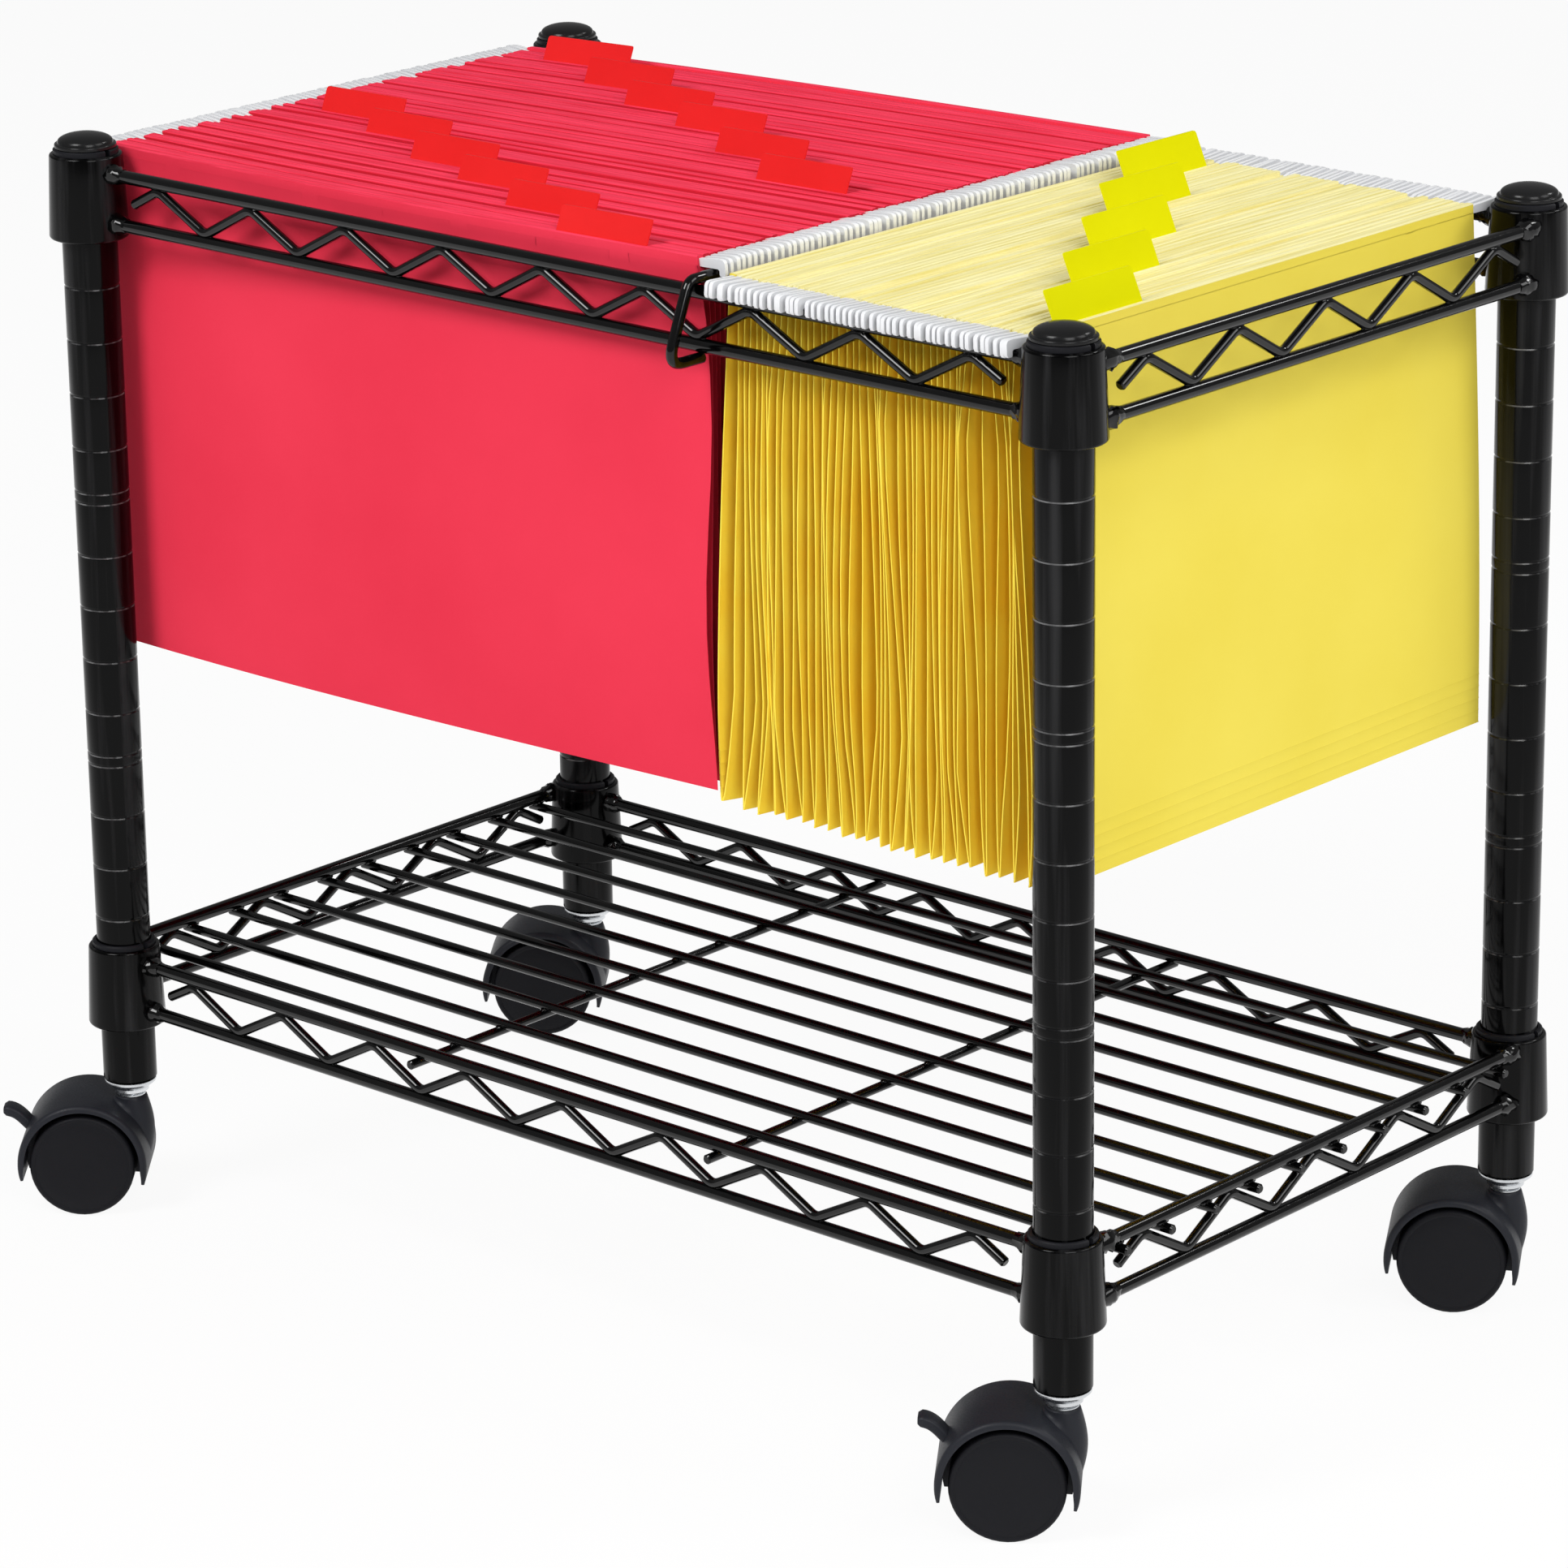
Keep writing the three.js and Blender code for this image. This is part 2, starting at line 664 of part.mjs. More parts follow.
// The row of hooks seen along the rail: keyed into the cards below their hems, it stands up past the ends of
// the hems, reaches over the rail and drops down behind it
function hookOutline({ edge, rail, railTop, radius, top }) {
  const side = Math.sign(rail - edge);
  const root = edge - side * hookRoot;
  const inner = edge + side * slideGap;
  const outer = inner + side * hookPlate;
  const lip = rail + side * (radius + hookSideGap);
  const tip = lip + side * hookReach;
  const ceiling = railTop + seatGap;
  const keyTop = top - hemHeight - slideGap;
  const keyFoot = keyTop - hookRoot;
  return shapeOf([
    [root, keyTop], [inner, keyTop], [inner, top], [tip, top], [tip, railTop - hookDrop],
    [lip, railTop - hookDrop], [lip, ceiling], [outer, ceiling], [outer, keyFoot], [root, keyFoot],
  ]);
}

// Each folder's tab stands in the middle of the first of its two hems
const tabPlaces = (from, to, count) => {
  const hem = (to - from) / (2 * count);
  return Array.from({ length: count }, (_, index) => from + (2 * index + 0.5) * hem);
};

// A tab's side view: it stands in its hem and leans over by `lean` for each unit of height
const tabSlope = Math.tan(turned(tabLean));

function tabOutline(place, top, lean) {
  const corner = (side, rise) => [place + side * (tabThickness / 2) + lean * rise, top + rise];
  return shapeOf([corner(-1, -tabSink), corner(1, -tabSink), corner(1, tabHeight), corner(-1, tabHeight)]);
}

// The red rods rise from the left rail to the higher divider, and fan out where no collar is in their way
function redPackSolid() {
  const endTop = fileEndRail + railRadius;
  const dividerTop = dividerHeight + dividerRadius;
  const leftTop = endTop + seatGap + hookCrown;
  const rightTop = dividerTop + seatGap + hookCrown;
  const left = -endTrussX + redLeftInset;
  const right = dividerPlace - redRightInset;
  const leftDepth = postSpacingDeep / 2 - collarFootRadius - packGap;
  const rightDepth = longTrussY - redFrontInset;
  const share = (x) => (x - left) / (right - left);
  const fan = (x) => THREE.MathUtils.lerp(leftDepth / rightDepth, 1, share(x));
  const drop = (x) => THREE.MathUtils.lerp(rightTop - leftTop, 0, share(x));

  const cards = packOutline(-rightDepth, rightDepth, redFolderCount, rightTop);
  const body = acrossX(cards, right - left, (left + right) / 2);
  const place = body.attributes.position;
  for (let i = 0; i < place.count; i += 1) {
    const x = place.getX(i);
    place.setY(i, place.getY(i) * fan(x));
    place.setZ(i, place.getZ(i) - drop(x));
  }
  const slots = [left, right].flatMap((end) => {
    const depth = rightDepth * fan(end);
    const slot = (y, width, height, middle) => {
      return new THREE.BoxGeometry(2 * pocketDepth, width, height).translate(end, y, middle);
    };
    return pocketSlots(-depth, depth, redFolderCount, rightTop - drop(end), slot);
  });
  const leftHooks = hookOutline({
    edge: left, rail: -endTrussX, railTop: endTop, radius: railRadius, top: leftTop,
  });
  const rightHooks = hookOutline({
    edge: right, rail: dividerPlace, railTop: dividerTop, radius: dividerRadius, top: rightTop,
  });
  const pieces = [
    cut(solidOf(body), slots), prismAcrossY(leftHooks, 2 * leftDepth), prismAcrossY(rightHooks, 2 * rightDepth),
  ];
  const places = tabPlaces(-rightDepth, rightDepth, redFolderCount);
  const tabs = redTabRows * redTabsPerRow;
  for (let index = 0; index < tabs; index += 1) {
    const x = left + redTabInset + redTabWidth / 2 + (index % redTabsPerRow) * redTabPitch;
    const folder = Math.round(THREE.MathUtils.mapLinear(index, 0, tabs - 1, redTabFirst, redTabLast));
    const tab = tabOutline(places[folder] * fan(x), rightTop - drop(x), tabSlope);
    pieces.push(prismAcrossX(tab, redTabWidth, x));
  }
  return join(pieces);
}

function yellowPackSolid() {
  const railTop = fileLongRail + railRadius;
  const top = railTop + seatGap + hookCrown;
  const edge = longTrussY - yellowSideInset;
  const left = dividerPlace + yellowLeftInset;
  const right = postSpacingLong / 2 - collarFootRadius - packGap;
  const cards = prismAcrossY(packOutline(left, right, yellowFolderCount, top), 2 * edge);
  const slots = [-edge, edge].flatMap((end) => {
    const slot = (x, width, height, middle) => {
      return new THREE.BoxGeometry(width, 2 * pocketDepth, height).translate(x, end, middle);
    };
    return pocketSlots(left, right, yellowFolderCount, top, slot);
  });
  const pieces = [cut(cards, slots)];
  for (const side of [-1, 1]) {
    const hooks = hookOutline({ edge: side * edge, rail: side * longTrussY, railTop, radius: railRadius, top });
    pieces.push(prismAcrossX(hooks, right - left, (left + right) / 2));
  }
  const places = tabPlaces(right, left, yellowFolderCount);
  const last = yellowTabs - 1;
  for (let index = 0; index <= last; index += 1) {
    const y = edge - yellowTabInset - yellowTabWidth / 2 - index * yellowTabPitch;
    const folder = Math.round(THREE.MathUtils.mapLinear(index, 0, last, yellowTabFirst, yellowTabLast));
    pieces.push(prismAcrossY(tabOutline(places[folder], top, -tabSlope), yellowTabWidth, y));
  }
  return join(pieces);
}

addPart('red_folders', redPackSolid(), redCard());
addPart('yellow_folders', yellowPackSolid(), yellowCard());

// The origin is the middle of the cart's footprint, on the floor
const footprint = new THREE.Box3().setFromObject(cart);
cart.position.set(-(footprint.min.x + footprint.max.x) / 2, -(footprint.min.y + footprint.max.y) / 2, 0);
cart.updateMatrixWorld(true);

export default cart;
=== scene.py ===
# Mobile file cart: the looks of every piece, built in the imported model's frame
import math
import random

import bmesh
import bpy
from mathutils import Matrix, Vector, noise


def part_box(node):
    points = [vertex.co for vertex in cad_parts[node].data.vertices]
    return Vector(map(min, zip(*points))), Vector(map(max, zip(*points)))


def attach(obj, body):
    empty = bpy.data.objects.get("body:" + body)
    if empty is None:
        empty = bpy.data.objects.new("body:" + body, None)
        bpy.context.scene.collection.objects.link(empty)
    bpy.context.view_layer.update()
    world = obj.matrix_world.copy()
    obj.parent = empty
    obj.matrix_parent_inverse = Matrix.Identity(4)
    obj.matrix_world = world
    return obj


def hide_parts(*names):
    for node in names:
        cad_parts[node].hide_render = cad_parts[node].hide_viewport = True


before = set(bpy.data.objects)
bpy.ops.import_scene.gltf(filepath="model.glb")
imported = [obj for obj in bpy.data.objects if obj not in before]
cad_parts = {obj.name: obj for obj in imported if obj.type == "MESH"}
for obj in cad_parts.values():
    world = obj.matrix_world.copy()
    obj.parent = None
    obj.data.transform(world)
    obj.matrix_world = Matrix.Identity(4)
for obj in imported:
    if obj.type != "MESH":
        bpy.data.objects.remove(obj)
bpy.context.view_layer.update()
chance = random.Random(11)

# Sizes are in millimetres: X runs along the cart, Y from front to back, Z up from the floor
# Posts; a groove's lip gives shares of its depth and of its half width
POST_LONG = 573.0
POST_DEEP = 318.0
POST_RADIUS = 12.7
POST_FOOT = 63.0
POST_TOP = 514.0
POST_CHAMFER = 1.0
POST_CHAMFER_RISE = 0.8
GROOVES = 17
GROOVE_PITCH = 25.4
GROOVE_FIRST = 94.5
GROOVE_DEPTH = 0.35
GROOVE_HALF = 0.6
GROOVE_LIP = ((0.0, 1.5), (0.06, 1.35), (0.92, 0.4), (1.0, 0.2))
DOUBLED_GROOVES = (5, 10, 15)
DOUBLED_RISE = 5.0

# Collars and the sleeves whose rims stand above them; each level sits at a groove of the posts
LEVELS = {"upper": 16, "lower": 1}
COLLAR_HEIGHT = 39.3
COLLAR_TOP_RADIUS = 16.85
COLLAR_FOOT_RADIUS = 18.3
COLLAR_RISE = 10.6
COLLAR_LIP = 1.6
COLLAR_CROWN = 1.4
COLLAR_CROWN_FROM = 5
COLLAR_WALL = 3.5
COLLAR_FLAT = 2.2
COLLAR_HOLLOW = 1.0
COLLAR_ROOM = 0.2
COLLAR_DISH = 0.8
SLEEVE_RISE = 2.4
SLEEVE_RADIUS = 15.05
SLEEVE_SLIT = 10.0
SLEEVE_ROOM = 0.1
SLEEVE_SINK = 3.0
SLEEVE_EDGE = 0.6
SLEEVE_BREAK = (0.3, 0.4)

# Caps: a rim on the tube's end, a step of two rings (radius, rise) and a dome
CAP_SEAT = 514.3
CAP_FOOT = 12.4
CAP_RIM = 14.2
CAP_RIM_ROUND = 0.9
CAP_STEP = ((12.9, 1.9), (12.8, 2.3))
CAP_DOME = 12.7
CAP_DOME_FOOT = 2.3
CAP_DOME_RISE = 4.1
CAP_DOME_DEGREES = range(8, 90, 8)

# Wires; the beads' and welds' steps run along the rail
RAIL_RADIUS = 3.1
RAIL_SINK = 1.0
RAIL_SIDES = 16
WIRE_SIDES = 12
WIRE_CHAMFER = 0.3
WIRE_END = 0.72
STRAIGHT_SHARE = 0.48
ZIGZAG_RADIUS = 2.35
ZIGZAG_BEND = 7.0
ZIGZAG_OVERSHOOT = 1.2
STUB_SHARE = 0.56
END_X = 296.5
LONG_Y = 159.0
LONG_DEPTH = 22.8
END_DEPTH = 24.0
LONG_WAVES = 8
END_WAVES = 4
LONG_STUB_ROOM = 12.7
END_STUB_ROOM = 4.6
LONG_RAILS = {"upper": 503.3, "lower": 122.3}
END_RAILS = {"upper": 504.1, "lower": 125.8}
BEAD_STEPS = (9.0, 6.5, 3.0, 0.0, -1.6, -3.2, -4.8, -6.4, -8.0)
BEAD_RADII = (1.5, 3.4, 4.3, 4.6, 4.8, 4.5, 4.0, 3.5, RAIL_RADIUS)
WELD_STEPS = (-4.5, -3.2, 0.0, 3.2, 4.5)
WELD_RADII = (0.3, 1.2, 1.7, 1.2, 0.3)
WELD_SIDES = 8
WELD_SINK = 0.7
WELD_LUMP = 0.3
LUMP_SCALE = 0.45

# Shelf wires
DECK_RADIUS = 2.25
DECK_HEIGHT = 120.35
DECK_TIP = 302.4
DECK_WIRES = 10
DECK_OUTER = 135.0
CROSS_HEIGHT = 116.85
CROSS_TIP = 164.9
CROSS_PLACES = (-91.0, 91.0)
CROSS_WELD_SHARE = 0.8
CROSS_WELD_SINK = 0.5

# Divider bar
DIVIDER_X = 90.0
DIVIDER_RADIUS = 2.5
DIVIDER_HEIGHT = 509.0
DIVIDER_HOOK_TOP = 164.7
DIVIDER_HOOK_FOOT = 474.8
DIVIDER_BULGE = 178.7
DIVIDER_RETURN = 156.7
DIVIDER_BEND = 6.5
DIVIDER_BEND_STEPS = 8

# Casters; the stem's rings are (radius, height) from the top down, the cover's (radius, rise over the side)
CASTER_TURN = {"front_left": 221, "front_right": 217, "back_left": 218, "back_right": 212}
TRAIL = 22.5
STEM_PIN = ((5.0, 90.0), (5.0, 62.7), (11.9, 62.7))
STEM_DISH = ((12.2, 62.6), (12.3, 62.2), (12.2, 61.3), (10.9, 60.1), (9.3, 59.0), (8.5, 58.2))
STEM_RING = ((8.5, 56.7), (8.1, 56.3), (5.6, 56.2))
STEM_NECK = ((5.5, 55.0), (6.9, 54.9), (6.9, 54.5), (4.6, 54.4), (4.6, 34.6))
STEM_SIDES = 40
AXLE_HALF = 19.9
AXLE_RADIUS = 3.0
AXLE_SIDES = 20
WHEEL_RADIUS = 25.0
WHEEL_WIDTH = 16.0
WHEEL_INNER = 5.9
WHEEL_BORE = 3.4
WHEEL_BACK_EDGE = 1.2
WHEEL_TREAD_EDGE = 2.0
WHEEL_COVER = ((22.2, -0.35), (21.6, -0.1), (16.0, 0.25), (8.0, 0.45), (0.4, 0.5))
HOOD_INNER = 27.6
HOOD_OUTER = 30.8
HOOD_HALF = 23.0
HOOD_EDGE = 2.4
HOOD_FROM = -14.0
HOOD_TO = 199.0
HOOD_TIP = 14.0
HOOD_TIP_THIN = 1.7
HOOD_TIP_NARROW = 1.6
HOOD_STEPS = 56
WEB_HALF = 5.6
WEB_SINK = 0.6
WEB_STEPS = 40
BOSS_TOP = 54.2
BOSS_MOUTH = 4.9
BOSS_MOUTH_SINK = 0.2
BOSS_LAND = 6.8
BOSS_EDGE = 0.7
BOSS_RADIUS = 7.5
BOSS_SKIRT = 10.5
BOSS_SINK = 1.2
BOSS_LEAST = 6.0
BOSS_STEPS = 14
BOSS_SIDES = 40
BACK_FOOT = 24.0
BACK_SWEEP = 0.92
BRAKED = ("front_left", "front_right")
BRAKE_REACH = 20.8
BRAKE_ANGLE = 30.0
LEVER_REACH = 20.5
LEVER_RISE = 11.5
LEVER_HALF = 5.2
LEVER_THICK = 2.3
LEVER_SWELL = 0.5
LEVER_TIP = 0.93
LEVER_TIP_THIN = 0.45
LEVER_TIP_NARROW = 0.18
LEVER_SQUARE_ACROSS = 0.45
LEVER_SQUARE_UP = 0.6
LEVER_STEPS = 20
LEVER_SIDES = 24

# Hanging folders: sheets, whose marks are shares of their height and heights over the fold
FOLDER_HEIGHT = 236.0
CARD = 0.55
SHEET_TUCK = 4.0
SHEET_COLUMNS = 12
SHEET_SHARES = (1.0, 0.9, 0.8, 0.7, 0.6, 0.5, 0.4, 0.3, 0.22)
SHEET_MARKS = (40.0, 30.0, 24.5, 19.5, 14.2, 8.8, 4.0, 2.0, 0.8, 0.0)
SHEET_SLIP = 0.7
FOLD_RISE = 46.0
FOLD_RISE_RANGE = (0.85, 1.25)
FOLD_CURVE = 0.6
FOLD_SHIFT = 0.25
FOLD_DROP = 2.6
OUTER_FOLD = 0.75
SCORES = (6.0, 11.5, 17.0, 22.5)
SCORE_DEPTH = 0.14
SCORE_HALF = 0.35
SWAY = 8.5
SWAY_FROM = 50.0
SWAY_ENDS = 1.5
CALM_DEPTH = 14.0
CLUMP_SCALE = (0.085, 0.004, 0.0045)
CURL = 0.09
CURL_PACE = (0.015, 0.04)

# Hems, and the numbers of the four materials of a pack: the card's face, the hems' tops in painted light, the
# faces inside in painted shade, and the narrow edges, a painted highlight in the yellow pack
HEM_HEIGHT = 8.0
HEM_SHOULDER = 0.45
HEM_ROUND = 0.3
HEM_STATIONS = 9
HEM_SHIFT = 0.16
HEM_SETTLES = (0.0, 0.2, 0.3, 0.4, 0.6, 1.3)
HEM_GAPS = (0.4, 0.7, 1.0, 1.4, 2.2)
FACE_PAINT = 0
HEM_LIGHT_PAINT = 1
INSIDE_SHADE_PAINT = 2
EDGE_PAINT = 3

# Hooks and tabs; a nose or a tab's corner is rounded by points in from the end and down from the top
HOOK_REACH = 3.2
HOOK_DROP = 2.6
HOOK_GAP = 1.3
HOOK_ROOT = 5.0
HOOK_CROWN = 4.6
HOOK_CEILING = 0.3
HOOK_SLOPE = (2.2, 0.9, 0.3)
HOOK_NOSE = ((1.2, 0.2), (0.3, 0.9), (0.0, 1.9))
HOOK_TOE = (0.8, 1.2)
HOOK_HEEL = (0.3, 0.6)
HOOK_THROAT = (0.7, 0.6)
HOOK_SHARE = 0.54
HOOK_SPREAD = (0.85, 1.1)
HOOK_SHIFT = 0.14
HOOK_TWIST = 0.07
HOOK_LIFT = 0.2
HOOK_LONGER = 0.5
TAB_SINK = 3.0
TAB_ROOM = 1.3
TAB_THICKNESS = 0.8
TAB_CORNER = ((0.0, 1.0), (0.4, 0.2), (1.2, 0.0))

# Red pack; a tab's place is counted in hems from the start of its folder
RED_COUNT = 38
RED_DEPTH = 152.0
RED_LEFT_DEPTH = 140.1
RED_LEFT = -292.0
RED_RIGHT = 83.2
RED_TOP = 516.1
RED_DROP = 4.5
RED_OUTER = 16.0
RED_SWELL = 4.2
RED_SWELL_FROM = 0.1
RED_WAVE = 2.6
RED_CREST = 0.29
RED_WAVELENGTH = 0.76
RED_SAG = 1.8
RED_LINE = 0.34
RED_TAB_WIDTH = 52.5
RED_TAB_PITCH = 53.4
RED_TAB_INSET = 25.5
RED_TAB_HEIGHT = 10.4
RED_TAB_LEAN = 30.0
RED_TAB_PLACE = 0.1
RED_TABS_PER_ROW = 6
RED_TAB_FOLDERS = (35, 31, 27, 24, 20, 16, 15, 12, 9, 6, 3, 0)

# Yellow pack
YELLOW_COUNT = 24
YELLOW_EDGE = 149.2
YELLOW_BACK = 147.0
YELLOW_LEFT = 99.0
YELLOW_RIGHT = 265.6
YELLOW_TOP = 510.8
YELLOW_SWELL = 8.5
YELLOW_LEFT_SWELL = 11.5
YELLOW_END_POWER = 12
YELLOW_LINE = 0.2
YELLOW_TAB_WIDTH = 56.0
YELLOW_TAB_PITCH = 55.0
YELLOW_TAB_INSET = 9.8
YELLOW_TAB_HEIGHT = 14.0
YELLOW_TAB_LEAN = -28.0
YELLOW_TAB_PLACE = 1.75
YELLOW_TAB_FOLDERS = (3, 8, 13, 18, 23)

ROUND = 48
CREASE = 38.0


def middle_of(node):
    low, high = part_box(node)
    return (low + high) / 2


# The cart's own middle, under the four posts
CENTRE = (middle_of("post_front_left") + middle_of("post_back_right")) / 2


def at(x, y, z):
    """A place on the cart, in millimetres from its middle, as metres in the frame."""
    return Vector((CENTRE.x + x / 1000, CENTRE.y + y / 1000, z / 1000))


def between(low, high, value):
    """How far a value has come from low to high, from 0 to 1."""
    return max(0.0, min(1.0, (value - low) / (high - low)))


def arc(middle, radius, start, end, steps=5):
    """Points on a circle between two angles in degrees."""
    angles = [math.radians(start + (end - start) * step / steps) for step in range(steps + 1)]
    return [(middle[0] + radius * math.cos(a), middle[1] + radius * math.sin(a)) for a in angles]


def ring_angles(count):
    return [2 * math.pi * index / count for index in range(count)]


# Shapes
class Shape:
    """Points in millimetres and faces, each face with the number of its material."""

    def __init__(self):
        self.points = []
        self.faces = []
        self.paints = []

    def add(self, part, paint=0):
        """paint is one material number for the whole part, or one for each of its faces."""
        points, faces = part
        base = len(self.points)
        self.points.extend(points)
        self.faces.extend(tuple(base + index for index in face) for face in faces)
        self.paints.extend([paint] * len(faces) if isinstance(paint, int) else paint)


def shape_of(*parts):
    """A shape of one or more parts, all in its first material."""
    shape = Shape()
    for part in parts:
        shape.add(part)
    return shape


def skin(rings):
    """Faces between rings of equal length, closed at both ends."""
    count = len(rings[0])
    faces = []
    for step in range(len(rings) - 1):
        here = step * count
        there = here + count
        for index in range(count):
            after = (index + 1) % count
            faces.append((here + index, here + after, there + after, there + index))
    last = (len(rings) - 1) * count
    faces.append(tuple(range(count)))
    faces.append(tuple(last + index for index in range(count)))
    return [point for ring in rings for point in ring], faces


def lathe(outline, x, y, sides=ROUND):
    """An outline of (radius, height) points turned about an upright axis."""
    angles = ring_angles(sides)
    return skin([[(x + r * math.cos(a), y + r * math.sin(a), z) for a in angles] for r, z in outline])


def rounded(corners, radius, steps=6):
    """A line of points whose inner corners are bent to the given radius."""
    corners = [Vector(corner) for corner in corners]
    points = [corners[0]]
    for before, corner, after in zip(corners, corners[1:], corners[2:]):
        back = (before - corner).normalized()
        on = (after - corner).normalized()
        half = back.angle(on) / 2
        room = STRAIGHT_SHARE * min((before - corner).length, (after - corner).length)
        setback = min(radius / math.tan(half), room)
        start = corner + back * setback
        end = corner + on * setback
        for step in range(steps + 1):
            share = step / steps
            first = start.lerp(corner, share)
            points.append(first.lerp(corner.lerp(end, share), share))
    points.append(corners[-1])
    return points


def tube(path, radii, sides=WIRE_SIDES, lump=0.0):
    """A round wire along a path; radii is one radius or one for each point, and lump roughens it."""
    points = [Vector(point) for point in path]
    if not isinstance(radii, (list, tuple)):
        first = (points[1] - points[0]).normalized() * radii * WIRE_CHAMFER
        last = (points[-1] - points[-2]).normalized() * radii * WIRE_CHAMFER
        points = [points[0], points[0] + first] + points[1:-1] + [points[-1] - last, points[-1]]
        end = radii * WIRE_END
        radii = [end] + [radii] * (len(points) - 2) + [end]
    rings = []
    normal = None
    for index, point in enumerate(points):
        tangent = (points[min(index + 1, len(points) - 1)] - points[max(index - 1, 0)]).normalized()
        if normal is None:
            normal = tangent.orthogonal().normalized()
        normal = (normal - tangent * normal.dot(tangent)).normalized()
        side = tangent.cross(normal)
        ring = []
        for angle in ring_angles(sides):
            out = normal * math.cos(angle) + side * math.sin(angle)
            swell = 1 + lump * noise.noise((point + out * radii[index]) * LUMP_SCALE)
            ring.append(tuple(point + out * radii[index] * swell))
        rings.append(ring)
    return skin(rings)


def prism(outline, place, low, high):
    """A flat outline drawn out from low to high; place turns (across, up, along) into a point."""
    return skin([[place(across, up, along) for across, up in outline] for along in (low, high)])


def piece(name, shape, materials, body, nodes=(), slot=None):
    """Makes one object out of a shape, which rides on a body and may stand for CAD nodes."""
    mesh = bpy.data.meshes.new(name)
    mesh.from_pydata([at(*point) for point in shape.points], [], shape.faces)
    for material in materials:
        mesh.materials.append(material)
    mesh.polygons.foreach_set("material_index", shape.paints)
    work = bmesh.new()
    work.from_mesh(mesh)
    bmesh.ops.recalc_face_normals(work, faces=work.faces)
    for face in work.faces:
        face.smooth = True
    work.to_mesh(mesh)
    work.free()
    mesh.set_sharp_from_angle(angle=math.radians(CREASE))
    mesh.update()
    thing = bpy.data.objects.new(name, mesh)
    bpy.context.scene.collection.objects.link(thing)
    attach(thing, body)
    if nodes:
        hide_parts(*nodes)


# Materials; most of what the noise gives lies in this band
NOISE_BAND = (0.3, 0.7)
DRIFT_DETAIL = 4.0
GRAIN_DETAIL = 2.0
GRAIN_STRENGTH = 0.5
# The first stretch draws the noise out upright: painted reflection streaks on the posts and collars, and the
# grooves' painted highlight. The next two draw it along the hems: streaks of painted light and shade.
STREAKS_ALONG_Z = (1, 1, 0.03)
STREAKS_ALONG_X = (0.02, 1, 1)
STREAKS_ALONG_Y = (1, 0.02, 1)
CARD_ROUGH = (0.7, 0.85)


def begin(name):
    material = bpy.data.materials.new(name)
    material.use_nodes = True
    return material, material.node_tree


def speckle(tree, scale, detail=3.0, stretch=(1, 1, 1)):
    """Noise that is fixed to the object, with stretch along its axes."""
    place = tree.nodes.new("ShaderNodeTexCoord")
    shift = tree.nodes.new("ShaderNodeMapping")
    shift.inputs["Scale"].default_value = stretch
    field = tree.nodes.new("ShaderNodeTexNoise")
    field.inputs["Scale"].default_value = scale
    field.inputs["Detail"].default_value = detail
    tree.links.new(place.outputs["Object"], shift.inputs["Vector"])
    tree.links.new(shift.outputs["Vector"], field.inputs["Vector"])
    return field.outputs["Fac"]


def ramp(tree, factor, low, high, start=NOISE_BAND[0], end=NOISE_BAND[1]):
    """A colour that runs from low to high with the factor."""
    node = tree.nodes.new("ShaderNodeValToRGB")
    node.color_ramp.elements[0].position = start
    node.color_ramp.elements[0].color = (*low, 1)
    node.color_ramp.elements[1].position = end
    node.color_ramp.elements[1].color = (*high, 1)
    tree.links.new(factor, node.inputs["Fac"])
    return node.outputs["Color"]


def span(tree, factor, low, high):
    """A number that runs from low to high with the factor."""
    node = tree.nodes.new("ShaderNodeMapRange")
    node.inputs["From Min"].default_value = NOISE_BAND[0]
    node.inputs["From Max"].default_value = NOISE_BAND[1]
    node.inputs["To Min"].default_value = low
    node.inputs["To Max"].default_value = high
    tree.links.new(factor, node.inputs["Value"])
    return node.outputs["Result"]


def bump(tree, height, strength, distance):
    node = tree.nodes.new("ShaderNodeBump")
    node.inputs["Strength"].default_value = strength
    node.inputs["Distance"].default_value = distance
    tree.links.new(height, node.inputs["Height"])
    return node.outputs["Normal"]


def finish_of(name, low, high, rough, grain, relief, patch=12.0, stretch=(1, 1, 1), metallic=0.0,
              specular=0.5, spread=NOISE_BAND):
    """A surface whose colour and gloss drift in patches and whose grain stands up by the relief."""
    material, tree = begin(name)
    shader = tree.nodes["Principled BSDF"]
    drift = speckle(tree, patch, DRIFT_DETAIL, stretch)
    fine = speckle(tree, grain, GRAIN_DETAIL, stretch)
    tree.links.new(ramp(tree, drift, low, high, *spread), shader.inputs["Base Color"])
    tree.links.new(span(tree, fine, *rough), shader.inputs["Roughness"])
    tree.links.new(bump(tree, fine, GRAIN_STRENGTH, relief), shader.inputs["Normal"])
    shader.inputs["Metallic"].default_value = metallic
    shader.inputs["Specular IOR Level"].default_value = specular
    return material


COAT = finish_of(
    "black_coat", (0.0004, 0.0004, 0.0005), (0.0016, 0.0016, 0.0018),
    rough=(0.07, 0.13), grain=300, relief=0.00001, specular=0.41,
)
# Painted reflection: lighter upright streaks in the base colour of the posts and collars stand in for
# reflections of the studio
REFLECTION_STREAKS = finish_of(
    "black_coat_painted_reflection_streaks", (0.0002, 0.0002, 0.0003), (0.0200, 0.0200, 0.0210),
    rough=(0.10, 0.20), grain=220, relief=0.00001, patch=130, stretch=STREAKS_ALONG_Z, specular=0.13,
    spread=(0.48, 0.70),
)
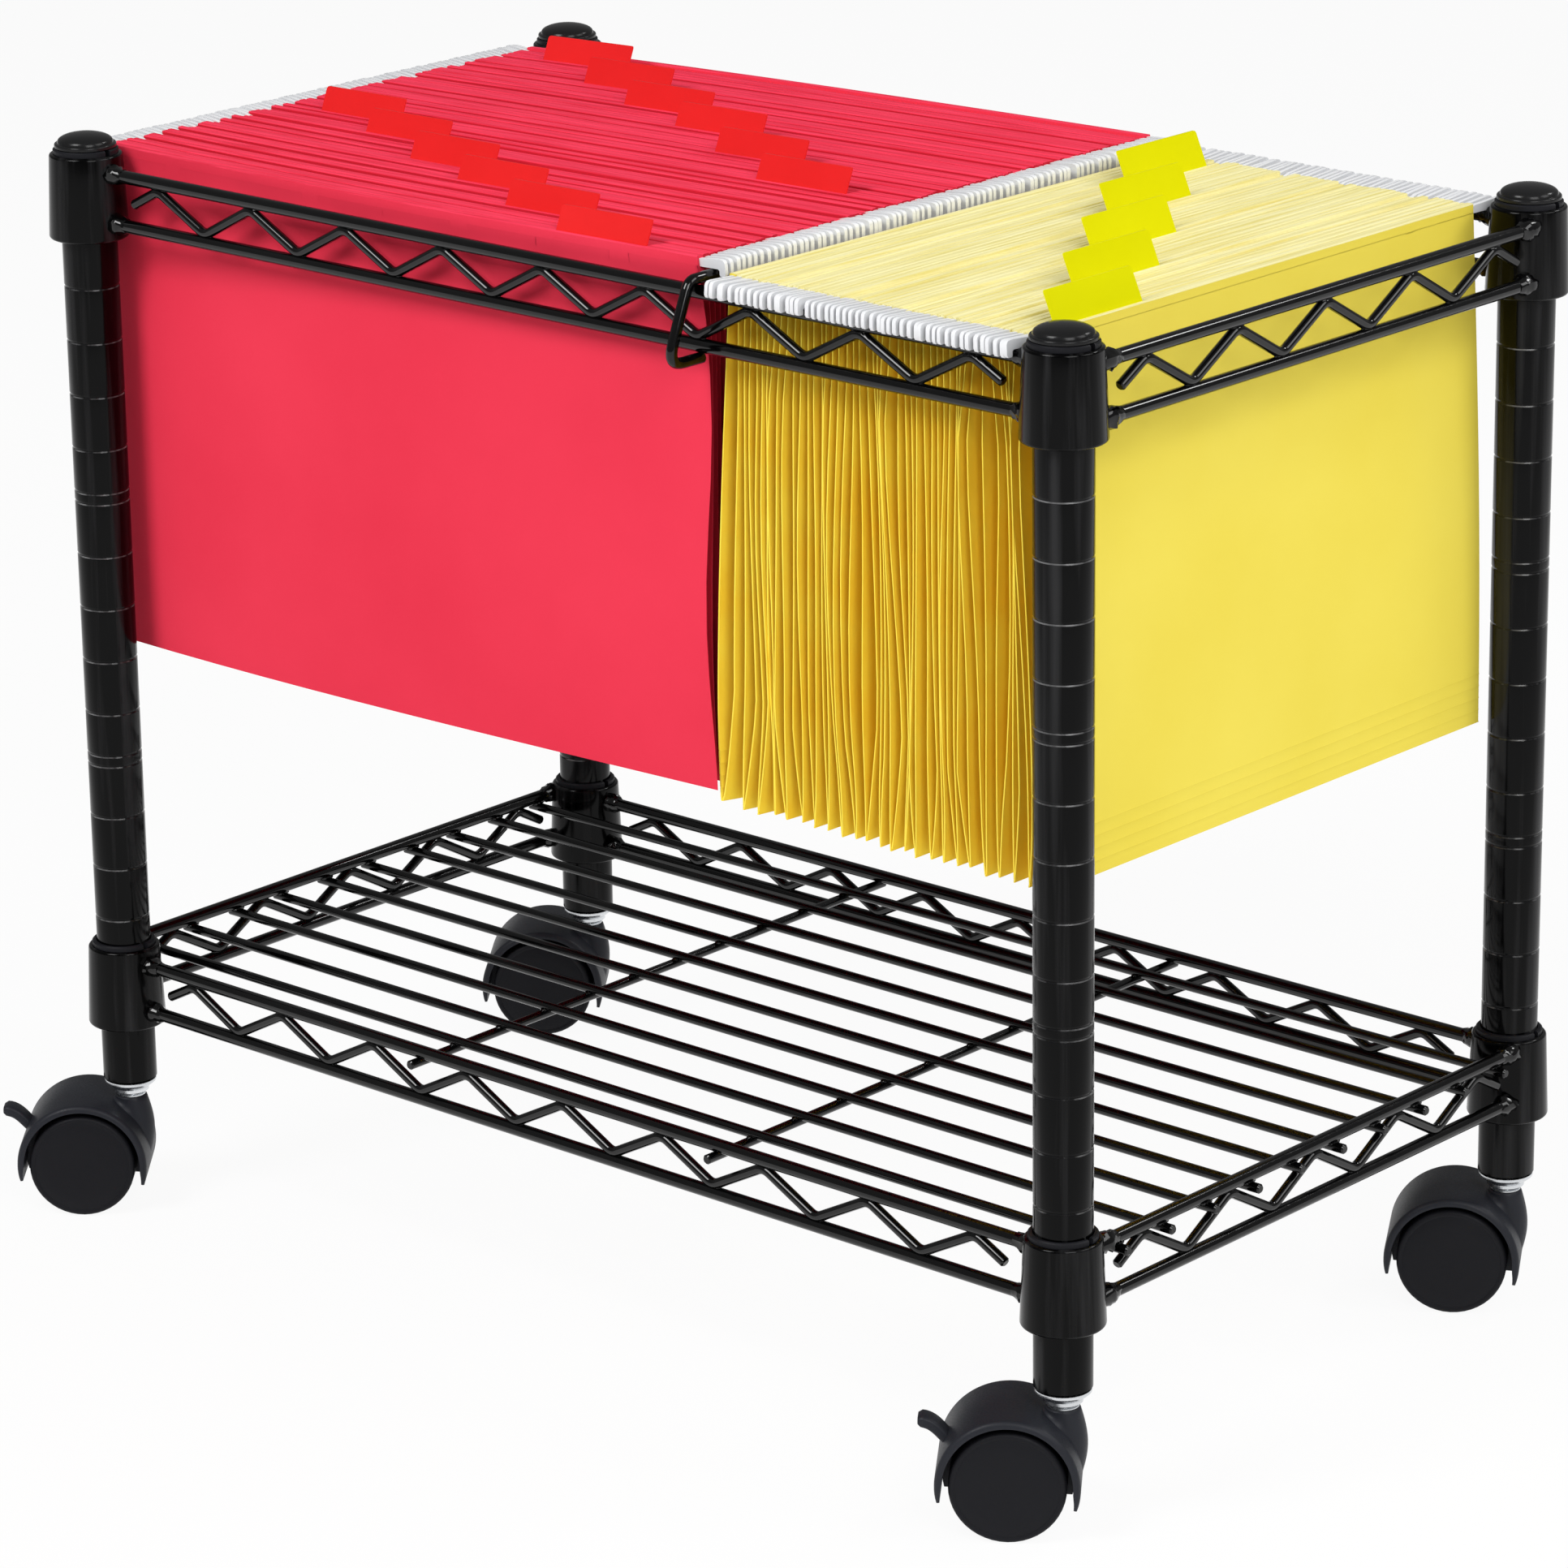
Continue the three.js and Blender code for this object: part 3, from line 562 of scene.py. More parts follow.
# Painted highlight: a much lighter base for the grooves' lower lips stands in for the lamps' glints along
# them
LIP_HIGHLIGHT = finish_of(
    "black_groove_painted_highlight", (0.0080, 0.0080, 0.0085), (0.1500, 0.1500, 0.1520),
    rough=(0.10, 0.20), grain=220, relief=0.00001, patch=110, stretch=STREAKS_ALONG_Z, specular=0.2,
    spread=(0.42, 0.66),
)
CAP = finish_of(
    "black_cap", (0.0085, 0.0085, 0.0088), (0.0130, 0.0130, 0.0135),
    rough=(0.16, 0.26), grain=600, relief=0.00002, specular=0.2,
)
PLASTIC = finish_of(
    "black_plastic", (0.0072, 0.0073, 0.0094), (0.0108, 0.0110, 0.0138),
    rough=(0.42, 0.58), grain=1500, relief=0.00003, specular=0.14,
)
SHELL = finish_of(
    "black_shell", (0.0150, 0.0162, 0.0215), (0.0220, 0.0235, 0.0300),
    rough=(0.38, 0.52), grain=1500, relief=0.00003, specular=0.2,
)
ZINC = finish_of(
    "zinc_plate", (0.62, 0.64, 0.66), (0.80, 0.82, 0.84),
    rough=(0.20, 0.36), grain=900, relief=0.00003, patch=60, metallic=1.0,
)
HOOKS = finish_of(
    "white_hook", (0.80, 0.81, 0.83), (0.88, 0.885, 0.90),
    rough=(0.35, 0.5), grain=900, relief=0.00002, specular=0.25,
)
# Painted shade: a greyer white for the hooks' flat sides, which stand in shade between the hooks
HOOK_SIDE_SHADE = finish_of(
    "white_hook_side_painted_shade", (0.68, 0.69, 0.71), (0.78, 0.79, 0.81),
    rough=(0.4, 0.55), grain=900, relief=0.00002, specular=0.2,
)
RED = finish_of(
    "red_card", (0.79, 0.033, 0.070), (0.85, 0.042, 0.084),
    rough=CARD_ROUGH, grain=1200, relief=0.00003, patch=9, specular=0.1,
)
# Painted light: a brighter copy of the red card for the hems' tops, lit from above, with darker streaks along
# the hems as painted shade of the lines between them
RED_HEM_LIT = finish_of(
    "red_hem_painted_light", (0.77, 0.030, 0.066), (0.97, 0.056, 0.116),
    rough=CARD_ROUGH, grain=900, relief=0.00003, patch=800, stretch=STREAKS_ALONG_X, specular=0.1,
    spread=(0.35, 0.6),
)
# Painted shade: a dark red for the faces inside the stack and the hems' sides, where shade falls between the
# sheets
RED_INSIDE_SHADE = finish_of(
    "red_card_inside_painted_shade", (0.50, 0.012, 0.028), (0.60, 0.016, 0.036),
    rough=CARD_ROUGH, grain=1200, relief=0.00003, patch=9, specular=0.1,
)
RED_TAB = finish_of(
    "red_tab", (0.76, 0.018, 0.019), (0.80, 0.021, 0.022),
    rough=(0.35, 0.45), grain=60, relief=0.00001, patch=20, specular=0.06,
)
YELLOW = finish_of(
    "yellow_card", (0.84, 0.68, 0.080), (0.88, 0.73, 0.104),
    rough=CARD_ROUGH, grain=1200, relief=0.00003, patch=9, specular=0.1,
)
# Painted light: a paler copy of the yellow card for the hems' tops, lit from above, with darker streaks along
# the hems as painted shade of the lines between them
YELLOW_HEM_LIT = finish_of(
    "yellow_hem_painted_light", (0.80, 0.70, 0.25), (0.91, 0.85, 0.46),
    rough=CARD_ROUGH, grain=900, relief=0.00003, patch=800, stretch=STREAKS_ALONG_Y, specular=0.1,
    spread=(0.35, 0.6),
)
YELLOW_TAB = finish_of(
    "yellow_tab", (0.73, 0.71, 0.001), (0.76, 0.74, 0.002),
    rough=(0.35, 0.45), grain=60, relief=0.00001, patch=20, specular=0.02,
)
# Painted shade: a deeper golden yellow for the faces inside the stack, standing in for the shade and warm
# bounced light between the sheets
GOLD_INSIDE_SHADE = finish_of(
    "yellow_card_inside_painted_shade", (0.96, 0.63, 0.033), (0.98, 0.72, 0.053),
    rough=CARD_ROUGH, grain=1200, relief=0.00003, patch=40, specular=0.1,
)
# Painted highlight: a lighter yellow for the sheets' narrow edges, which catch the light
EDGE_HIGHLIGHT_GOLD = finish_of(
    "yellow_card_edge_painted_highlight", (0.97, 0.74, 0.065), (0.99, 0.80, 0.095),
    rough=CARD_ROUGH, grain=1200, relief=0.00003, patch=40, specular=0.1,
)

CORNERS = {
    "front_left": (-POST_LONG / 2, -POST_DEEP / 2),
    "front_right": (POST_LONG / 2, -POST_DEEP / 2),
    "back_left": (-POST_LONG / 2, POST_DEEP / 2),
    "back_right": (POST_LONG / 2, POST_DEEP / 2),
}


# Posts, caps, collars and sleeves
def groove_height(index):
    return GROOVE_FIRST + index * GROOVE_PITCH


def collar_top(groove):
    return groove_height(groove) + COLLAR_RISE


def post_part(x, y):
    """A grooved tube; gives the part and its paints, with each groove's lower lip painted 1, a painted
    highlight.
    """
    heights = []
    for index in range(GROOVES):
        heights.append(groove_height(index))
        if index in DOUBLED_GROOVES:
            heights.append(groove_height(index) + DOUBLED_RISE)
    lip = [(POST_RADIUS - sink * GROOVE_DEPTH, out * GROOVE_HALF) for sink, out in GROOVE_LIP]
    outline = [(POST_RADIUS - POST_CHAMFER, POST_FOOT), (POST_RADIUS, POST_FOOT + POST_CHAMFER_RISE)]
    lip_highlight_bands = [0, 0]
    for height in heights:
        outline.extend((radius, height - out) for radius, out in lip)
        outline.extend((radius, height + out) for radius, out in reversed(lip))
        lip_highlight_bands += [0, 1] + [0] * (2 * len(lip) - 2)
    outline.append((POST_RADIUS, POST_TOP))
    paints = [band for band in lip_highlight_bands for _ in range(ROUND)]
    return lathe(outline, x, y), paints + [0, 0]


def cap_outline():
    """A rim, a step above it and a low dome."""
    rim = arc((CAP_RIM - CAP_RIM_ROUND, CAP_SEAT + CAP_RIM_ROUND), CAP_RIM_ROUND, 0, 90)
    step = [(radius, CAP_SEAT + rise) for radius, rise in CAP_STEP]
    dome = []
    for degrees in CAP_DOME_DEGREES:
        angle = math.radians(degrees)
        height = CAP_SEAT + CAP_DOME_FOOT + CAP_DOME_RISE * math.sin(angle)
        dome.append((CAP_DOME * math.cos(angle), height))
    return [(CAP_FOOT, CAP_SEAT), (CAP_RIM, CAP_SEAT), *rim, *step, *dome]


def collar_outline(groove):
    """A tapered cup with a rounded lip and crown and a dished mouth round the sleeve."""
    top = collar_top(groove)
    foot = top - COLLAR_HEIGHT
    inside = [
        (COLLAR_FOOT_RADIUS - COLLAR_WALL, foot + COLLAR_HOLLOW),
        (COLLAR_FOOT_RADIUS - COLLAR_FLAT, foot),
    ]
    lip = arc((COLLAR_FOOT_RADIUS - COLLAR_LIP, foot + COLLAR_LIP), COLLAR_LIP, -90, 0)
    crown = arc((COLLAR_TOP_RADIUS - COLLAR_CROWN, top - COLLAR_CROWN), COLLAR_CROWN, COLLAR_CROWN_FROM, 90)
    mouth = [(SLEEVE_RADIUS + COLLAR_ROOM, top), (POST_RADIUS + COLLAR_ROOM, top - COLLAR_DISH)]
    return inside + lip + crown + mouth


def sleeve_part(groove, x, y):
    """The sleeve's rim above its collar, open at the slit."""
    top = collar_top(groove)
    rim = top + SLEEVE_RISE
    inner = POST_RADIUS + SLEEVE_ROOM
    outer = SLEEVE_RADIUS - SLEEVE_ROOM
    wide, deep = SLEEVE_BREAK
    section = [
        (inner, top - SLEEVE_SINK), (outer, top - SLEEVE_SINK), (outer, rim - SLEEVE_EDGE),
        (outer - SLEEVE_EDGE, rim), (inner + wide, rim), (inner, rim - deep),
    ]
    rings = []
    for step in range(ROUND + 1):
        angle = math.radians(SLEEVE_SLIT / 2 + (360 - SLEEVE_SLIT) * step / ROUND)
        rings.append([(x + r * math.cos(angle), y + r * math.sin(angle), z) for r, z in section])
    return skin(rings)


for corner, (x, y) in CORNERS.items():
    post = Shape()
    post.add(*post_part(x, y))
    piece(f"post_{corner}_turned", post, [REFLECTION_STREAKS, LIP_HIGHLIGHT], "cart_frame", [f"post_{corner}"], "black_coat")
    for name, part, material, slot in (
        ("cap", lathe(cap_outline(), x, y), CAP, "black_plastic"),
        ("upper_collar", lathe(collar_outline(LEVELS["upper"]), x, y), REFLECTION_STREAKS, "black_coat"),
        ("lower_collar", lathe(collar_outline(LEVELS["lower"]), x, y), REFLECTION_STREAKS, "black_coat"),
        ("upper_sleeve", sleeve_part(LEVELS["upper"], x, y), PLASTIC, "black_plastic"),
        ("lower_sleeve", sleeve_part(LEVELS["lower"], x, y), PLASTIC, "black_plastic"),
    ):
        node = f"{name}_{corner}"
        piece(f"{node}_turned", shape_of(part), [material], "cart_frame", [node], slot)


# Trusses: rails, a zigzag wire, its welds, and lumpy beads where the rails meet the collars
def collar_radius(groove, height):
    share = (collar_top(groove) - height) / COLLAR_HEIGHT
    return COLLAR_TOP_RADIUS + (COLLAR_FOOT_RADIUS - COLLAR_TOP_RADIUS) * share


def weld(place, along, height):
    """A small run of weld metal along a rail."""
    line = [place(along + step, height) for step in WELD_STEPS]
    return tube(line, WELD_RADII, WELD_SIDES, WELD_LUMP)


def truss_shape(place, offset, post, waves, room, top_rail, depth, groove):
    """place turns a distance along the truss and a height into a point; the posts stand offset from it."""
    shape = Shape()
    foot_rail = top_rail - depth
    for rail in (top_rail, foot_rail):
        reach = post - math.sqrt(collar_radius(groove, rail) ** 2 - offset ** 2)
        ends = [place(-reach - RAIL_SINK, rail), place(reach + RAIL_SINK, rail)]
        shape.add(tube(ends, RAIL_RADIUS, RAIL_SIDES))
        for side in (-1, 1):
            line = [place(side * (reach + step), rail) for step in BEAD_STEPS]
            shape.add(tube(line, BEAD_RADII, RAIL_SIDES, WELD_LUMP))
    gap = RAIL_RADIUS + ZIGZAG_RADIUS - WELD_SINK
    crest = top_rail - gap
    valley = foot_rail + gap
    half = (post - COLLAR_FOOT_RADIUS - room) / (waves + STUB_SHARE)
    stub_height = crest - (crest - valley) * STUB_SHARE
    line = [place(-(waves + STUB_SHARE) * half, stub_height)]
    for step in range(2 * waves + 1):
        along = (step - waves) * half
        if step % 2 == 0:
            line.append(place(along, crest + ZIGZAG_OVERSHOOT))
            shape.add(weld(place, along, top_rail - RAIL_RADIUS))
        else:
            line.append(place(along, valley - ZIGZAG_OVERSHOOT))
            shape.add(weld(place, along, foot_rail + RAIL_RADIUS))
    line.append(place((waves + STUB_SHARE) * half, stub_height))
    shape.add(tube(rounded(line, ZIGZAG_BEND), ZIGZAG_RADIUS))
    return shape


def long_truss(side, level, groove):
    def place(along, height):
        return (along, side * LONG_Y, height)

    return truss_shape(
        place, 0.0, POST_LONG / 2, LONG_WAVES, LONG_STUB_ROOM, LONG_RAILS[level], LONG_DEPTH, groove
    )


def end_truss(side, level, groove):
    def place(along, height):
        return (side * END_X, along, height)

    offset = END_X - POST_LONG / 2
    return truss_shape(
        place, offset, POST_DEEP / 2, END_WAVES, END_STUB_ROOM, END_RAILS[level], END_DEPTH, groove
    )


for level, groove in LEVELS.items():
    for name, shape in (
        ("front", long_truss(-1, level, groove)),
        ("back", long_truss(1, level, groove)),
        ("left", end_truss(-1, level, groove)),
        ("right", end_truss(1, level, groove)),
    ):
        node = f"{level}_{name}_truss"
        piece(f"{node}_welded", shape, [COAT], "cart_frame", [node], "black_coat")


# Shelf wires, with a weld at every crossing
def crossing(x, y):
    """Places for a short weld over a wire that runs along Y."""
    return lambda along, height: (x, y + along * CROSS_WELD_SHARE, height)


shelf = Shape()
for index in range(DECK_WIRES):
    y = -DECK_OUTER + 2 * DECK_OUTER * index / (DECK_WIRES - 1)
    shelf.add(tube([(-DECK_TIP, y, DECK_HEIGHT), (DECK_TIP, y, DECK_HEIGHT)], DECK_RADIUS))
    for x in CROSS_PLACES:
        shelf.add(weld(crossing(x, y), 0.0, CROSS_HEIGHT + DECK_RADIUS - CROSS_WELD_SINK))
    for x in (-END_X, END_X):
        shelf.add(weld(crossing(x, y), 0.0, DECK_HEIGHT + DECK_RADIUS))
for x in CROSS_PLACES:
    shelf.add(tube([(x, -CROSS_TIP, CROSS_HEIGHT), (x, CROSS_TIP, CROSS_HEIGHT)], DECK_RADIUS))
piece("shelf_wires_welded", shelf, [COAT], "cart_frame", ["shelf_wires"], "black_coat")

# Divider bar: a rod over both long rails whose bowed hooks close under the rails below
hook = [
    (DIVIDER_RETURN, DIVIDER_HOOK_FOOT),
    (DIVIDER_BULGE, DIVIDER_HOOK_FOOT),
    (DIVIDER_HOOK_TOP, DIVIDER_HEIGHT),
]
line = [(DIVIDER_X, -y, z) for y, z in hook] + [(DIVIDER_X, y, z) for y, z in reversed(hook)]
divider = shape_of(tube(rounded(line, DIVIDER_BEND, DIVIDER_BEND_STEPS), DIVIDER_RADIUS, RAIL_SIDES))
piece("divider_bar_bent", divider, [COAT], "divider", ["divider_bar"], "black_coat")


# Casters, in the caster's own frame: the stem upright at the origin, the wheels trailing along the first axis
def caster_place(corner):
    x, y = CORNERS[corner]
    turn = math.radians(CASTER_TURN[corner])

    def place(trail, across, height):
        return (
            x + trail * math.cos(turn) - across * math.sin(turn),
            y + trail * math.sin(turn) + across * math.cos(turn),
            height,
        )

    return place


def hood_shell(place):
    """The hood's half-round cover: a rounded section carried round the wheels, thinner at its tips."""
    rings = []
    for step in range(HOOD_STEPS + 1):
        degrees = HOOD_FROM + (HOOD_TO - HOOD_FROM) * step / HOOD_STEPS
        from_end = min(degrees - HOOD_FROM, HOOD_TO - degrees)
        full = min(1.0, from_end / HOOD_TIP)
        inner = HOOD_INNER + (1 - full) * HOOD_TIP_THIN
        half = HOOD_HALF - (1 - full) ** 2 * HOOD_TIP_NARROW
        edge = HOOD_EDGE * (0.5 + 0.5 * full)
        left = arc((-half + edge, HOOD_OUTER - edge), edge, 180, 90, 4)
        right = arc((half - edge, HOOD_OUTER - edge), edge, 90, 0, 4)
        along = math.cos(math.radians(degrees))
        up = math.sin(math.radians(degrees))
        section = [(-half, inner), *left, *right, (half, inner)]
        rings.append([place(TRAIL + r * along, across, WHEEL_RADIUS + r * up) for across, r in section])
    return skin(rings)


def hood_web(place):
    """The flat web between the wheels."""
    outline = arc((TRAIL, WHEEL_RADIUS), HOOD_INNER + WEB_SINK, HOOD_FROM, HOOD_TO, WEB_STEPS)
    return prism(outline, lambda u, z, v: place(u, v, z), -WEB_HALF, WEB_HALF)


def hood_boss(place):
    """The round boss on the stem, which runs out into the hood's crown and down its back."""
    def crown(u):
        rise = (HOOD_OUTER - BOSS_SINK) ** 2 - (u - TRAIL) ** 2
        return WHEEL_RADIUS + math.sqrt(max(rise, BOSS_LEAST ** 2))

    angles = ring_angles(BOSS_SIDES)
    rings = []
    for radius, height in ((BOSS_MOUTH, BOSS_TOP - BOSS_MOUTH_SINK), (BOSS_LAND, BOSS_TOP)):
        rings.append([place(radius * math.cos(a), radius * math.sin(a), height) for a in angles])
    top = BOSS_TOP - BOSS_EDGE
    for step in range(BOSS_STEPS + 1):
        share = step / BOSS_STEPS
        ring = []
        for a in angles:
            back = max(0.0, -math.cos(a))
            spread = (1 - back) * share ** 3 + back * math.sin(math.pi * BACK_SWEEP * share)
            radius = BOSS_RADIUS + (BOSS_SKIRT - BOSS_RADIUS) * spread
            foot = (1 - back) * crown(BOSS_SKIRT * math.cos(a)) + back * BACK_FOOT
            ring.append(place(radius * math.cos(a), radius * math.sin(a), top + (foot - top) * share))
        rings.append(ring)
    return skin(rings)


def wheel_part(place, side):
    """A wheel with a rounded tread and a domed cover, turned about the axle."""
    back = WHEEL_RADIUS - WHEEL_BACK_EDGE
    tread = (WHEEL_RADIUS - WHEEL_TREAD_EDGE, WHEEL_WIDTH - WHEEL_TREAD_EDGE)
    outline = [
        (WHEEL_BORE, 0.0), (back, 0.0), *arc((back, WHEEL_BACK_EDGE), WHEEL_BACK_EDGE, -90, 0, 3),
        *arc(tread, WHEEL_TREAD_EDGE, 0, 90, 5),
        *((radius, WHEEL_WIDTH + rise) for radius, rise in WHEEL_COVER),
    ]
    rings = []
    for radius, depth in outline:
        across = side * (WHEEL_INNER + depth)
        rings.append([
            place(TRAIL + radius * math.cos(a), across, WHEEL_RADIUS + radius * math.sin(a))
            for a in ring_angles(ROUND)
        ])
    return skin(rings)


def weighted(weights, marks):
    """The sum of some flat points, each times its weight."""
    return tuple(sum(w * mark[axis] for w, mark in zip(weights, marks)) for axis in (0, 1))


def squarer(value, power):
    """Pulls a sine or cosine towards its ends, which makes a round section squarer."""
    return math.copysign(abs(value) ** power, value)


def lever_part(place):
    """A tongue of rounded section along an S curve, which thickens towards its tip."""
    angle = math.radians(BRAKE_ANGLE)
    start = TRAIL + BRAKE_REACH * math.cos(angle)
    low = WHEEL_RADIUS + BRAKE_REACH * math.sin(angle)
    high = low + LEVER_RISE
    bend = start + LEVER_REACH / 2
    marks = ((start, low), (bend, low), (bend, high), (start + LEVER_REACH, high))
    rings = []
    for step in range(LEVER_STEPS + 1):
        t = step / LEVER_STEPS
        u, z = weighted(((1 - t) ** 3, 3 * t * (1 - t) ** 2, 3 * t * t * (1 - t), t ** 3), marks)
        slopes = (-3 * (1 - t) ** 2, 3 * (1 - t) * (1 - 3 * t), 3 * t * (2 - 3 * t), 3 * t * t)
        run = Vector(weighted(slopes, marks)).normalized()
        tip = between(LEVER_TIP, 1.0, t)
        thick = (LEVER_THICK + LEVER_SWELL * t) * (1 - LEVER_TIP_THIN * tip ** 2)
        wide = LEVER_HALF * (1 - LEVER_TIP_NARROW * tip ** 2)
        ring = []
        for a in ring_angles(LEVER_SIDES):
            across = wide * squarer(math.cos(a), LEVER_SQUARE_ACROSS)
            up = thick * squarer(math.sin(a), LEVER_SQUARE_UP)
            ring.append(place(u - run.y * up, across, z + run.x * up))
        rings.append(ring)
    return skin(rings)


for corner, (x, y) in CORNERS.items():
    place = caster_place(corner)
    node = f"caster_stem_{corner}"
    stem = shape_of(lathe([*STEM_PIN, *STEM_DISH, *STEM_RING, *STEM_NECK], x, y, STEM_SIDES))
    piece(f"{node}_plated", stem, [ZINC], "cart_frame", [node], "zinc_plate")
    node = f"caster_hood_{corner}"
    hood = shape_of(hood_shell(place), hood_web(place), hood_boss(place))
    piece(f"{node}_moulded", hood, [SHELL], f"swivel_{corner}", [node], "black_plastic")
    node = f"caster_axle_{corner}"
    ends = [place(TRAIL, across, WHEEL_RADIUS) for across in (-AXLE_HALF, AXLE_HALF)]
    axle = shape_of(tube(ends, AXLE_RADIUS, AXLE_SIDES))
    piece(f"{node}_pin", axle, [ZINC], f"swivel_{corner}", [node], "zinc_plate")
    for name, side in (("a", -1), ("b", 1)):
        node = f"caster_wheel_{corner}_{name}"
        wheel = shape_of(wheel_part(place, side))
        piece(f"{node}_moulded", wheel, [PLASTIC], f"wheel_{corner}_{name}", [node], "black_plastic")
    if corner in BRAKED:
        node = f"brake_lever_{corner}"
        lever = shape_of(lever_part(place))
        piece(f"{node}_moulded", lever, [SHELL], f"brake_{corner}", [node], "black_plastic")


# Hanging folders: s runs through the stack, w along the rods and z up, before the pack is bent into place
def red_place(s, w, z):
    """The red rods rise to the right and draw in behind the left collars; the outer sheets wave."""
    share = between(RED_LEFT, RED_RIGHT, w)
    fan = 1 - (1 - RED_LEFT_DEPTH / RED_DEPTH) * (1 - share) ** 3
    depth = between(RED_TOP, RED_TOP - FOLDER_HEIGHT, z)
    outer = between(RED_DEPTH - RED_OUTER, RED_DEPTH, abs(s))
    swell = RED_SWELL + RED_WAVE * math.cos(2 * math.pi * (depth - RED_CREST) / RED_WAVELENGTH)
    swell *= between(0, RED_SWELL_FROM, depth) * outer ** 2 * share ** 4
    sag = RED_DROP * (1 - share) + RED_SAG * depth * (1 - 2 * share)
    return (w + swell, s * fan, z - sag)


def yellow_place(s, w, z):
    """The yellow stack spreads below: to the right as a whole, to the left only at the sheets' ends."""
    middle = (YELLOW_LEFT + YELLOW_RIGHT) / 2
    share = (s - middle) / (YELLOW_RIGHT - middle)
    low = math.sin(between(YELLOW_TOP, YELLOW_TOP - FOLDER_HEIGHT, z) * math.pi / 2)
    swell = YELLOW_SWELL
    if share <= 0:
        swell = YELLOW_LEFT_SWELL * between(0, YELLOW_EDGE, abs(w)) ** YELLOW_END_POWER
    return (s + swell * low * share ** 3, w, z)


def sheet_part(place, s, fold, start, end, top, foot, calm, near, far, scores=()):
    """A hanging sheet, which sways at its ends and curves in to the fold; near and far paint its faces."""
    height = top - foot
    rise = FOLD_RISE * chance.uniform(*FOLD_RISE_RANGE)
    pace = chance.uniform(*CURL_PACE)
    phase = chance.uniform(0, 2 * math.pi)
    marks = [(height * share, 0.0) for share in SHEET_SHARES]
    marks += [(mark, 0.0) for mark in SHEET_MARKS]
    for score in scores:
        marks += [(score + SCORE_HALF, 0.0), (score, SCORE_DEPTH), (score - SCORE_HALF, 0.0)]
    rings = []
    for left, dent in sorted(marks, reverse=True):
        free = min(1.0, left / rise)
        bow = (fold - s) * (1 - free ** FOLD_CURVE)
        bow += math.copysign(dent, fold - s)
        front = []
        back = []
        for column in range(SHEET_COLUMNS + 1):
            across = 2 * column / SHEET_COLUMNS - 1
            w = start + (end - start) * column / SHEET_COLUMNS
            spot = [value * scale for value, scale in zip((s, w, left), CLUMP_SCALE)]
            clump = noise.noise(Vector(spot))
            curl = CURL * math.sin(left * pace + phase)
            swing = (clump + curl) * abs(across) ** SWAY_ENDS
            here = s + bow + calm * free * between(0, SWAY_FROM, height - left) * swing
            front.append(place(here - CARD / 2, w, foot + left))
            back.append(place(here + CARD / 2, w, foot + left))
        rings.append(front + back[::-1])
    # The narrow edges take the edge paint, which is a painted highlight in the yellow pack
    row = [near] * SHEET_COLUMNS + [EDGE_PAINT] + [far] * SHEET_COLUMNS + [EDGE_PAINT]
    return skin(rings), row * (len(rings) - 1) + [near, near]


def hem_part(place, low, high, start, end, top, side):
    """The folded-over top of a sheet; gives the part and its paints, with side on its flat sides and the
    hem's painted light on its top.
    """
    soft = HEM_SHOULDER
    turn = HEM_ROUND * soft
    rise = [(low, -HEM_HEIGHT), (low, -soft), (low + turn, -turn), (low + soft, 0.0)]
    fall = [(high - soft, 0.0), (high - turn, -turn), (high, -soft), (high, -HEM_HEIGHT)]
    outline = rise + fall
    rings = []
    for index in range(HEM_STATIONS):
        w = start + (end - start) * index / (HEM_STATIONS - 1)
        rings.append([place(s, w, top + z) for s, z in outline])
    row = [side] + [HEM_LIGHT_PAINT] * 5 + [side, side]
    return skin(rings), row * (HEM_STATIONS - 1) + [side, side]


def hook_part(place, middle, edge, rail, rail_top, radius, top, thickness):
    """A moulded hook over a rail, a little askew; gives the part and its paints, its flat sides painted 1 in
    painted shade.
    """
    side = math.copysign(1.0, rail - edge)
    root = edge - side * HOOK_ROOT
    lip = rail + side * (radius + HOOK_GAP)
    tip = lip + side * HOOK_REACH
    foot = rail_top - HOOK_DROP
    ceiling = rail_top + HOOK_CEILING
    outline = [(w, top - drop) for w, drop in zip((root, edge, rail), HOOK_SLOPE)]
    outline.append((lip, top))
    outline += [(tip - side * inward, top - down) for inward, down in HOOK_NOSE]
    outline += [(tip, foot + HOOK_TOE[1]), (tip - side * HOOK_TOE[0], foot)]
    outline += [(lip + side * HOOK_HEEL[0], foot), (lip, foot + HOOK_HEEL[1])]
    outline += [(lip, ceiling - HOOK_THROAT[1]), (lip - side * HOOK_THROAT[0], ceiling), (root, ceiling)]
    twist = chance.uniform(-HOOK_TWIST, HOOK_TWIST)
    lift = chance.uniform(-HOOK_LIFT, HOOK_LIFT)
    reach = chance.uniform(0.0, HOOK_LONGER) * side

    def askew(w, z, s):
        return place(middle + s + twist * (w - edge), w + reach * between(edge, tip, w), z + lift)

    return prism(outline, askew, -thickness / 2, thickness / 2), [0] * len(outline) + [1, 1]


def tab_part(place, middle, start, end, top, height, lean):
    """A thin index tab that leans over by some degrees from its slot in the hem."""
    shift = math.tan(math.radians(lean))
    outline = [(start, -TAB_SINK)]
    outline += [(start + inward, height - down) for inward, down in TAB_CORNER]
    outline += [(end - inward, height - down) for inward, down in reversed(TAB_CORNER)]
    outline.append((end, -TAB_SINK))

    def leaning(w, z, s):
        return place(middle + s + shift * max(z, 0.0), w, top + z)

    return prism(outline, leaning, -TAB_THICKNESS / 2, TAB_THICKNESS / 2)


